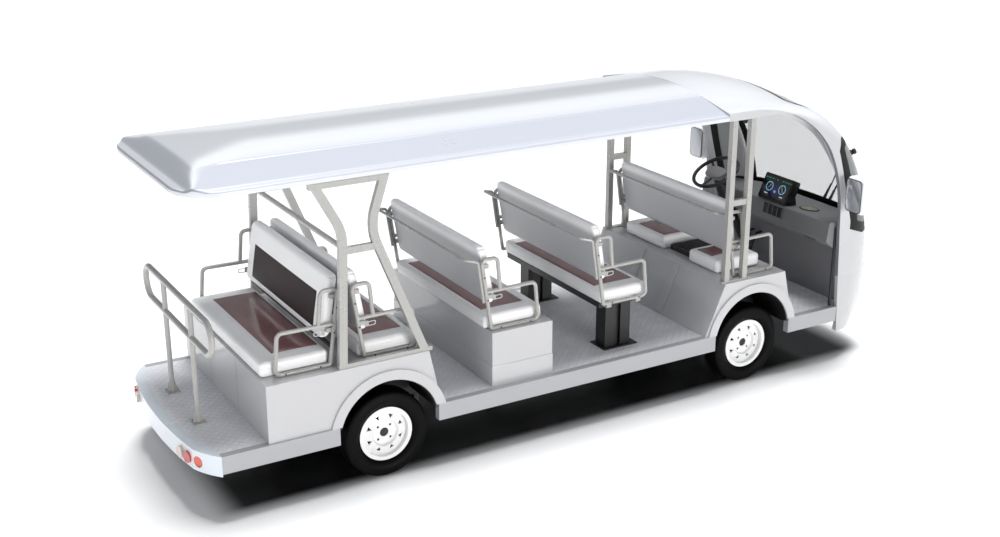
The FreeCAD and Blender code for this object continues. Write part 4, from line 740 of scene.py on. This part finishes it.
def addTyre(label, axleX, sign):
    s = tyreSizes
    centre = sign * (s["outerY"] - s["halfWide"])
    knots = tyreKnots + [(-a, b) for a, b in tyreKnots[-2::-1]]
    profile = smoothProfile(knots, s["along"])
    turn = fullTurn(s["around"])
    across, radius = profile[:, 0], profile[:, 1]
    # sidewall: raised rings and fine grooves, outward by a bell curve of the radius
    rings = sum(height * np.exp(-((radius - r) / wide) ** 2) for r, wide, height in sidewallRings)
    across = across + np.sign(across) * rings * (np.abs(across) > 0.05)
    out = np.abs(across)
    ribs = sum(np.exp(-((across - g) / s["grooveWide"]) ** 4) for g in s["grooves"])
    cut = ribs * s["deep"] * (out < s["treadHalf"])
    # radius(u, v) = profile - ribs - sipes at the shoulders and, turned half a step, between the ribs
    phase = (turn[:, None] * s["blocks"] / (2 * math.pi) + across[None, :] * s["slant"]) % 1
    shoulder = smoothStep((out - 0.040) / 0.003) * smoothStep((0.070 - out) / 0.004)
    middle = smoothStep((out - 0.008) / 0.003) * smoothStep((0.030 - out) / 0.003)
    sipes = ((phase < 0.26) * shoulder[None, :] * s["sipeDeep"]
             + (np.abs(phase - 0.5) < 0.13) * middle[None, :] * s["midSipe"])
    r = radius[None, :] - cut[None, :] - sipes * (radius > 0.262)[None, :]
    x = axleX + r * np.cos(turn)[:, None]
    z = axleHeight + r * np.sin(turn)[:, None]
    y = np.broadcast_to(centre + across[None, :] * sign, x.shape)
    form = gridForm(np.stack([x, y, z], -1), True, True)
    made = addPiece("tyreTread_" + label, [(form if sign < 0 else flipped(form), "tyre_black")],
                    "wheel_" + label, 35)
    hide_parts("tyre_" + label)


for end, axleX in (("rear", rearAxle), ("front", frontAxle)):
    for side, sign in (("left", 1), ("right", -1)):
        addTyre(f"{end}_{side}", axleX, sign)
print("tyres made")


# ---- windscreen: the CAD pane again, cut fine, with the distance to its edge in an attribute
screenSizes = dict(rimAngle=50, spacing=0.004, longest=0.02, rounds=6)


def addWindscreen():
    s = screenSizes
    source = frame["nodes"]["windscreen"]
    mesh = bmesh.new()
    mesh.from_mesh(source.data)
    bmesh.ops.remove_doubles(mesh, verts=mesh.verts, dist=1e-5)
    sharp = math.radians(s["rimAngle"])
    rim = [e for e in mesh.edges if len(e.link_faces) == 2 and e.calc_face_angle(0) > sharp]
    spots = [e.verts[0].co.lerp(e.verts[1].co, k / n) for e in rim
             for n in [max(1, int(e.calc_length() / s["spacing"]))] for k in range(n)]
    tree = KDTree(len(spots))
    for k, spot in enumerate(spots):
        tree.insert(spot, k)
    tree.balance()
    for _ in range(s["rounds"]):
        long = [e for e in mesh.edges if e.calc_length() > s["longest"]]
        if not long:
            break
        bmesh.ops.subdivide_edges(mesh, edges=long, cuts=1)
        bmesh.ops.triangulate(mesh, faces=[f for f in mesh.faces if len(f.verts) > 3])
    mesh.normal_update()
    made = bpy.data.meshes.new("windscreenPane")
    mesh.to_mesh(made)
    mesh.free()
    made.materials.append(finishes["glass_clear"].material)
    layer = made.attributes.new("edge", "FLOAT", "POINT")
    layer.data.foreach_set("value", [tree.find(v.co)[2] for v in made.vertices])
    made.polygons.foreach_set("use_smooth", [True] * len(made.polygons))
    made.set_sharp_from_angle(angle=math.radians(45))
    pane = linked("windscreenPane", made)
    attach(pane, "root")
    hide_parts("windscreen")
    print("windscreen", len(made.polygons))


addWindscreen()


# ---- roof: one skin in place of the CAD shell, with a rolled lip, gutter, soft crease and crown
roofSizes = dict(back=-2.604, seam=1.046, half=0.730, corner=0.250, wall=0.028, roll=0.012, blend=0.002,
                 soften=0.010, bottom=1.920, crease=0.440, creaseZ=2.030, top=2.072, line=0.0035,
                 lineWide=0.0045)
# heights by the distance in from the side and from the rear: gutter, slope and, at the rear, crown
sideProfile = ((0, 0.014, 0.030, 0.042, 0.29), (1.953, 1.957, 1.957, 1.966, roofSizes["creaseZ"]))
rearProfile = ((0, 0.020, 0.046, 0.060, 0.165, 0.215, 0.44, 0.60),
               (1.953, 1.957, 1.954, 1.961, 2.030, 2.043, 2.068, 2.090))


def roofHeight(x, y):
    # softened minimum of the profile across and the profile along, less the roll at the edge
    r = roofSizes
    fine = np.linspace(-0.2, 1.4, 3201)
    bell = np.exp(-(np.linspace(-0.036, 0.036, 145) / 0.007) ** 2)
    bell /= bell.sum()
    off = r["half"] - fine   # distance from the middle plane
    crown = r["creaseZ"] + (r["top"] - r["creaseZ"]) * (1 - (np.clip(off, -1, 1) / r["crease"]) ** 2)
    across = np.where(off > r["crease"], np.interp(fine, *sideProfile), crown)
    across = np.convolve(across, bell, "same")
    along = np.convolve(np.interp(fine, *rearProfile), bell, "same")
    px, py = x - r["back"], r["half"] - np.abs(y)
    a, b = np.interp(py, fine, across), np.interp(np.minimum(px, 1.2), fine, along)
    z = np.minimum(a, b)
    soft = r["blend"] + r["soften"] * smoothStep((z - 1.965) / 0.05)
    z = z - soft * np.log1p(np.exp(-np.abs(a - b) / soft))
    # a fine pressed line follows the crease: z -= depth exp(-((|y| - crease) / width)^2)
    line = np.exp(-((np.abs(y) - r["crease"]) / r["lineWide"]) ** 2) * smoothStep((px - 0.26) / 0.05)
    z = z - r["line"] * line
    c = r["corner"]
    edge = np.where((px < c) & (py < c), c - np.hypot(c - px, c - py), np.minimum(px, py))
    near = np.clip(r["roll"] - edge, 0, r["roll"])
    return z - (r["roll"] - np.sqrt(r["roll"] ** 2 - near ** 2))


def addRoof():
    r = roofSizes
    # stations along and across, in metres, close together at the edges and on the ridge
    close = np.array([0, 0.6, 2, 4.5, 8, 12, 17, 22, 28, 34, 40, 46, 53, 61]) / 1000
    along = np.concatenate([close, np.arange(0.072, 0.27, 0.012), np.arange(0.28, 0.66, 0.03),
                            np.linspace(0.7, r["seam"] - r["back"], 26)])
    steps = np.array([1.5, 3, 5, 7, 10, 15, 22]) / 1000
    ridge = r["half"] - r["crease"] + np.concatenate([-steps[::-1], [0], steps])
    across = np.concatenate([close, np.linspace(0.08, 0.25, 7), ridge, np.linspace(0.33, r["half"], 13)])
    v = 1 - across / r["half"]
    v = np.concatenate([-v, v[-2::-1]])

    def skin(inset):
        x = r["back"] + inset + along * (r["seam"] - r["back"] - inset) / along[-1]
        c = r["corner"] - inset
        reach = np.clip(c - (x - r["back"] - inset), 0, c)
        half = r["half"] - inset - c + np.sqrt(c * c - reach * reach)
        return np.stack(np.broadcast_arrays(x[:, None], half[:, None] * v[None, :]), -1)

    def rim(sheet):
        # the open edge: back down one side, across the rear, up the other side
        return np.concatenate([sheet[::-1, 0], sheet[0, 1:-1], sheet[:, -1]])

    outer, under = skin(0), skin(r["wall"])
    top = np.dstack([outer, roofHeight(outer[..., 0], outer[..., 1])])
    inner = np.dstack([under, roofHeight(under[..., 0], under[..., 1]) - r["wall"]])
    loops = [rim(top)]
    for inset, z in ((0.0, r["bottom"] + 0.005), (0.0015, r["bottom"] + 0.0015), (0.005, r["bottom"]),
                     (r["wall"], r["bottom"])):
        flat = rim(skin(inset))
        loops.append(np.column_stack([flat, np.full(len(flat), z)]))
    loops.append(rim(inner))
    front = np.stack([top[-1], inner[-1]], 1)
    forms = (gridForm(top), flipped(gridForm(inner)), gridForm(np.stack(loops, 1)), flipped(gridForm(front)))
    made = addPiece("roofSkin", [(form, "roof_white") for form in forms], smooth=60)
    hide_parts("roof_shell")


addRoof()


# ---- seat rails: screws, belt loops and the bar below the rear-facing back
railSizes = dict(plane=0.6575, heights=(0.993, 1.145), reaches=(0.075, 0.290), seatZ=0.7975, rise=0.4625,
                 foot=0.010, lean=0.070, screw=0.0058, proud=0.003, loopAt=(0.072, 0.628, 0.994),
                 loopWire=0.0033, bar=0.013)
railRows = dict(row1=(1.219, 1), row2=(0.133, 1), row3=(-0.707, 1), row4=(-1.573, 1), row5=(-1.773, -1))
loopCorners = ((-0.024, -0.013), (0.024, -0.011), (0.024, 0.013), (-0.024, 0.011))


def domeForm(centre, direction, radius, proud, count=14):
    # a low domed head: radius falls to 0 at the top
    return latheForm([(-0.001, 0), (-0.001, radius), (0, radius), (proud * 0.6, radius * 0.86),
                      (proud * 0.92, radius * 0.5), (proud, 0)], centre, direction, count)


def addRailTrim():
    s = railSizes
    for rowName, (xBack, facing) in railRows.items():
        forms, loops = [], []
        for side in (-1, 1):
            # screws up the leaning leg, then along the level arm
            spots = [(s["foot"] - s["lean"] * (z - s["seatZ"]) / s["rise"], z) for z in s["heights"]]
            for reach, z in spots + [(reach, s["seatZ"]) for reach in s["reaches"]]:
                spot = (xBack + facing * reach, side * s["plane"], z)
                forms.append((domeForm(spot, (0, side, 0), s["screw"], s["proud"]), "screw_dark"))
            # a rounded wire loop on a tab inside the leg
            reach, y, z = s["loopAt"]
            c = np.array([xBack + facing * reach, side * y, z])
            ring = [c + (facing * a, 0, b) for a, b in loopCorners]
            near, far = sorted((-facing * 0.042, -facing * 0.022))
            loops.append((tubeForm(rounded(ring, 0.012, 5, True), s["loopWire"], 8, True), "belt_grey"))
            loops.append((boxForm(c + (near, -0.003, -0.016), c + (far, 0.003, 0.020), 0.0015), "tube_grey"))
        addPiece("railScrews_" + rowName, forms)
        addPiece("beltLoops_" + rowName, loops)
    bar = np.linspace((-1.768, -0.632, 0.905), (-1.768, 0.632, 0.905), 8)
    addPiece("rearBackBar", [(tubeForm(bar, s["bar"], 16), "trim_black")])


addRailTrim()


# ---- dashboard: display face, vent, round grille, handle and pillar seals
def screenFinish():
    # two ring gauges, icons and bars drawn from the attributes u and v, in metres on the face
    made = Finish("screenFace", coatWeight=0.8, coatRoughness=0.03)
    u, v = made.attribute("u"), made.attribute("v")
    w = abs(u) - 0.068
    reach = (w * w + v * v).calc("SQRT")
    turn = v.calc("ARCTAN2", w)
    ring = abs(reach - 0.034).rise(0.0026, 0.0014)
    ticks = (turn * 7.0).calc("SINE").rise(0.2, 0.5) * abs(reach - 0.0285).rise(0.0022, 0.0012)
    needle = abs(w + v * 0.6).rise(0.0016, 0.0008) * reach.rise(0.022, 0.020)
    icons = (((u * 420).calc("SINE") > 0.35) * abs(v - 0.061).rise(0.0040, 0.0032)
             * (made.noise(55, 0) > 0.46))
    bars = abs(abs(u) - 0.082).rise(0.018, 0.017) * abs(v + 0.056).rise(0.0030, 0.0022)
    number = (abs(u).rise(0.010, 0.009) * abs(v + 0.030).rise(0.009, 0.008)
              * ((u * 900).calc("SINE") + (v * 700).calc("SINE")).rise(0.0, 0.3))
    glow = (u * u * 0.6 + (v + 0.02) * (v + 0.02) * 2.0).calc("SQRT").rise(0.085, 0.0)
    base = made.mix(glow * 0.85, tone(7, 10, 20), tone(24, 38, 92))
    base = made.mix(ring + ticks * 0.7, base, tone(150, 214, 236))
    base = made.mix((needle + number + bars).calc("MINIMUM", 1.0), base, tone(228, 238, 244))
    base = made.mix(icons * 0.9, base, tone(60, 190, 150))
    made.give("baseColor", made.mix(0.85, base, tone(6, 7, 9)))
    made.give("emissionColor", base).give("emissionStrength", 0.75)
    made.give("roughness", 0.12 + (made.noise(12) - 0.5) * 0.05)
    return made


finishes["screen_face"] = screenFinish()
dashSizes = dict(faceFoot=(2.062, -0.088, 1.055), faceLean=24, faceUp=0.101, faceOut=0.0352,
                 faceHalf=(0.138, 0.078), faceThick=0.0015, ventAt=(2.0275, -0.120, 1.004),
                 slope=(0.020, 0, 0.145), vent=(0.210, 0.076), fins=5, slats=9,
                 grilleAt=(2.186, -0.333, 1.0450), grilleUp=(0.139, 0, 0.990), rings=6,
                 handleAt=(2.053, -0.50, 0.8925), handleUp=(-0.08, 0, 0.06), handle=(0.124, 0.020),
                 sealX=(2.086, 2.102), sealY=(0.7005, 0.7165), sealZ=(0.430, 1.02))


def leaning(degrees):
    # an upright direction leaned forward by an angle, and the one square to it that looks back
    lean = math.radians(degrees)
    return np.array([math.sin(lean), 0, math.cos(lean)]), np.array([-math.cos(lean), 0, math.sin(lean)])


def addDashTrim():
    s = dashSizes
    up, out = leaning(s["faceLean"])
    (w, h), side = s["faceHalf"], np.array([0, -1.0, 0])
    points, faces = boxGrid(np.linspace(-w, w, 15), np.linspace(-h, h, 9), np.array([0, s["faceThick"]]))
    centre = np.array(s["faceFoot"]) + up * s["faceUp"] + out * s["faceOut"]
    face = placed((points, faces), centre, np.cross(up, out), up)
    addPiece("displayFace", [(face, "screen_face")],
             attributes={"u": points[:, 0], "v": points[:, 1]})
    # the vent lies on the dash's rear slope: a dark pan, upright fins and level slats
    vent = [(plateForm(*s["vent"], 0.005, 0.003), "trim_black")]
    for a in np.linspace(-0.1, 0.1, s["fins"]):
        vent.append((boxForm((a - 0.0024, -0.034, 0.002), (a + 0.0024, 0.034, 0.0078), 0.001), "panel_dark"))
    for b in np.linspace(-0.032, 0.032, s["slats"]):
        vent.append((boxForm((-0.1, b - 0.0012, 0.002), (0.1, b + 0.0012, 0.0058), 0.0006), "trim_black"))
    vent = [(placed(form, s["ventAt"], side, s["slope"]), finish) for form, finish in vent]
    addPiece("dashVent", vent)
    # round grille: a dark rim and raised rings, as (along, radius) pairs turned about an upright line
    rim = [(-0.004, 0.0), (-0.004, 0.073), (0.005, 0.073), (0.0065, 0.071), (0.0065, 0.067), (0.004, 0.065),
           (0.004, 0.0)]
    rings = [(0.003, 0.0), (0.003, 0.064), (0.0055, 0.064)]
    for k in range(s["rings"]):
        r = 0.060 - k * 0.0095
        rings += [(0.0055, r), (0.0075, r - 0.002), (0.0075, r - 0.0055), (0.0055, r - 0.0075)]
    rings += [(0.0065, 0.0)]
    grille = [(latheForm(profile, s["grilleAt"], s["grilleUp"], 40), finish)
              for profile, finish in ((rim, "trim_black"), (rings, "grille_grey"))]
    addPiece("dashGrille", grille)
    handle = placed(plateForm(*s["handle"], 0.006, 0.003), s["handleAt"], side, s["handleUp"])
    seals = [(handle, "trim_black")]
    (x0, x1), (z0, z1) = s["sealX"], s["sealZ"]
    for sign in (-1, 1):
        y0, y1 = sorted(sign * y for y in s["sealY"])
        seals.append((boxForm((x0, y0, z0), (x1, y1, z1), 0.003), "trim_black"))
    addPiece("cabSeals", seals)


addDashTrim()


# ---- steering wheel's pad and the display's foot; levels are (share of the outline, height)
padSizes = dict(lean=-28, hub=(1.852, 0.350, 1.210), half=(0.062, 0.098), square=0.7, around=56,
                levels=((0, -0.034), (0.80, -0.034), (0.97, -0.024), (1.0, -0.010), (0.94, 0.004),
                        (0.70, 0.013), (0.35, 0.017), (0, 0.018)))
footSizes = dict(y=-0.215, wide=0.254,
                 outline=((2.050, 1.052), (2.165, 1.050), (2.150, 1.120), (2.105, 1.150)))


def addCabParts():
    # a flattened dome on the steering column's line
    s = padSizes
    axis, rearward = leaning(s["lean"])
    side, hub = np.array([0, 1.0, 0]), np.array(s["hub"])
    turn = fullTurn(s["around"])
    outline = np.stack([np.sign(wave) * np.abs(wave) ** s["square"] * half
                        for wave, half in zip((np.cos(turn), np.sin(turn)), s["half"])], 1)
    rings = np.array([[hub + axis * h - rearward * u * k + side * v * k for u, v in outline]
                      for k, h in s["levels"]])
    addPiece("wheelPad", [(gridForm(rings, False, True), "panel_dark")], "steering_wheel")
    # wedge below the display
    s = footSizes
    wedge = np.array(s["outline"])
    a = np.column_stack([wedge[:, 0], np.full(4, s["y"]), wedge[:, 1]])
    b = a + (0, s["wide"], 0)
    faces = [[3, 2, 1, 0], [4, 5, 6, 7]] + [[k, (k + 1) % 4, 4 + (k + 1) % 4, 4 + k] for k in range(4)]
    form = flipped((np.concatenate([a, b]), faces))
    addPiece("displayFoot", [(form, "trim_black")], smooth=30)


addCabParts()


# ---- louvres over the gap between the front cushions
louvreSizes = dict(count=7, inset=0.012, half=0.011, thick=0.005, tilt=0.28)


def addLouvres():
    s = louvreSizes
    low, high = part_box("seat_gap_cover")
    half = (high.x - low.x) / 2 - s["inset"]
    slat = boxForm((-half, -s["half"], 0.0), (half, s["half"], s["thick"]), 0.002)
    forms = []
    for k in range(s["count"]):
        y = low.y + (high.y - low.y) * (k + 0.5) / s["count"]
        spot = ((low.x + high.x) / 2, y, high.z + 0.001)
        forms.append((placed(slat, spot, (1, 0, 0), (0, 1, s["tilt"])), "trim_black"))
    addPiece("gapLouvres", forms)


addLouvres()


# ---- body trim: pressed ribs, plinth, panel joints and mirror glass
bodyTrim = dict(ribX=0.936, ribY=0.20, ribZ=0.426, ribUp=(0.155, 0, 0.359), rib=((-0.036, 0.012, -0.006),
                (0.036, 0.380, 0.011)), plinth=((-0.722, -0.699, 0.427), (-0.274, 0.699, 0.562)),
                jointX=(-2.2186, -2.2170), jointY=0.242, jointHalf=0.0011, jointZ=(0.440, 0.782),
                mirrorAt=(2.0705, 0.876, 1.300), backing=(0.148, 0.236, 0.030, 0.003),
                glass=(0.138, 0.226, 0.026, 0.0042))


def addBodyTrim():
    s = bodyTrim
    rib = boxForm(*s["rib"], 0.007)
    ribs = [(placed(rib, (s["ribX"], y, s["ribZ"]), (0, -1, 0), s["ribUp"]), "body_white")
            for y in (-s["ribY"], s["ribY"])]
    addPiece("frontBoxRibs", ribs)
    addPiece("row3Plinth", [(boxForm(*s["plinth"], 0.004), "body_white")])
    (x0, x1), (z0, z1), half = s["jointX"], s["jointZ"], s["jointHalf"]
    joints = [(boxForm((x0, y - half, z0), (x1, y + half, z1)), "seam_grey")
              for y in (-s["jointY"], s["jointY"])]
    addPiece("rearBoxJoints", joints)
    x, y, z = s["mirrorAt"]
    glasses = [(placed(plateForm(*s[key]), (x, side * y, z), (0, -1, 0), (0, 0, 1)), finish)
               for side in (-1, 1) for key, finish in (("backing", "trim_black"), ("glass", "mirror_glass"))]
    addPiece("mirrorGlasses", glasses)


addBodyTrim()


# ---- wiper boots and screen stops
bootSizes = dict(lean=35, pivots=(-0.066, -0.126), arm=0.52, shares=(0.0, 0.08, 0.2, 0.34, 0.46),
                 radius=0.0145, taper=0.0022, lift=0.015)
stopSizes = dict(at=(2.345, 0.585, 1.527), ahead=(0.80, 0.45, 0.40),
                 profile=((-0.004, 0.0), (-0.004, 0.022), (0.012, 0.022), (0.018, 0.015), (0.024, 0.021),
                          (0.040, 0.021), (0.045, 0.016), (0.046, 0.0)))


def addScreenParts():
    # black boots round the wiper arms' feet, and a small stop at each upper corner of the screen
    s = bootSizes
    points = np.array([v.co for v in frame["nodes"]["wipers"].data.vertices])
    lean, foot = math.radians(s["lean"]), points[:, 2].min() + s["lift"]
    share = np.array(s["shares"])
    boots = []
    for pivot in s["pivots"]:
        y, z = pivot - math.sin(lean) * s["arm"] * share, foot + math.cos(lean) * s["arm"] * share
        path = [(points[np.argsort(np.hypot(points[:, 1] - a, points[:, 2] - b))[:10], 0].mean(), a, b)
                for a, b in zip(y, z)]
        boots += [(tubeForm([path[k], path[k + 1]], s["radius"] - s["taper"] * k), "trim_black")
                  for k in range(len(share) - 1)]
    addPiece("wiperBoots", boots)
    s = stopSizes
    pane = np.array([v.co for v in bpy.data.objects["windscreenPane"].data.vertices])
    stops = []
    for side in (-1, 1):
        x, y, z = s["at"]
        spot = pane[np.argmin(norm(pane - (x, side * y, z), axis=1))]
        x, y, z = s["ahead"]
        stops.append((latheForm(s["profile"], spot, (x, side * y, z), 24), "trim_black"))
    addPiece("screenStops", stops)


addScreenParts()
print("trim made")


# ---- camera, floor and light
camera = linked("camera", bpy.data.cameras.new("camera"))
camera.location = (-4.5799, -7.3883, 3.9663)
camera.rotation_euler = [math.radians(a) for a in (70.392, 0, -30.331)]
camera.data.lens, camera.data.sensor_width = 48.573, 36
camera.data.clip_end = 300
scene.camera = camera
floorLook = dict(reach=300, pale=(tone(252, 252, 252), tone(254, 254, 254)), shadow=tone(10, 10, 10),
                 shadowX=2.42, shadowY=0.66, dark=0.99)


def addFloor():
    # a pale floor with a soft painted shadow under the vehicle
    s = floorLook
    r = s["reach"]
    mesh = bpy.data.meshes.new("floor")
    mesh.from_pydata([(-r, -r, 0), (r, -r, 0), (r, r, 0), (-r, r, 0)], [], [(0, 1, 2, 3)])
    floor = linked("floor", mesh)
    made = Finish("floorPale", roughness=0.22, specular=0.2)
    x, y, z = made.axes(made.place())
    # painted shadow: under marks the vehicle's footprint, where the floor goes dark
    under = (abs(x) - s["shadowX"]).rise(0.16, -0.10) * (abs(y) - s["shadowY"]).rise(0.07, -0.07)
    made.give("baseColor", made.mix(under * s["dark"], made.mix(made.noise(0.4), *s["pale"]), s["shadow"]))
    mesh.materials.append(made.material)


addFloor()
scene.view_settings.view_transform = "Standard"
world = bpy.data.worlds.new("studio")
scene.world = world
world.use_nodes = True
sky = world.node_tree.nodes["Background"]
sky.inputs[0].default_value, sky.inputs[1].default_value = (0.93, 0.96, 1.0, 1), 0.30

# each sun: the way its light goes, strength, spread in degrees, colour
suns = dict(sunTop=((-0.14, -0.08, -1), 3.9, 24, (1, 1, 1)),
            sunSide=((-0.22, 1, -0.05), 2.25, 20, (1, 0.99, 0.98)),
            sunRear=((1, 0.12, -0.04), 0.95, 60, (0.96, 0.97, 1)))


def addSun(name, towards, strength, spread, colour):
    light = linked(name, bpy.data.lights.new(name, "SUN"))
    light.data.energy, light.data.angle, light.data.color = strength, math.radians(spread), colour
    light.rotation_euler = Vector(towards).to_track_quat("-Z", "Y").to_euler()


for sunName, values in suns.items():
    addSun(sunName, *values)
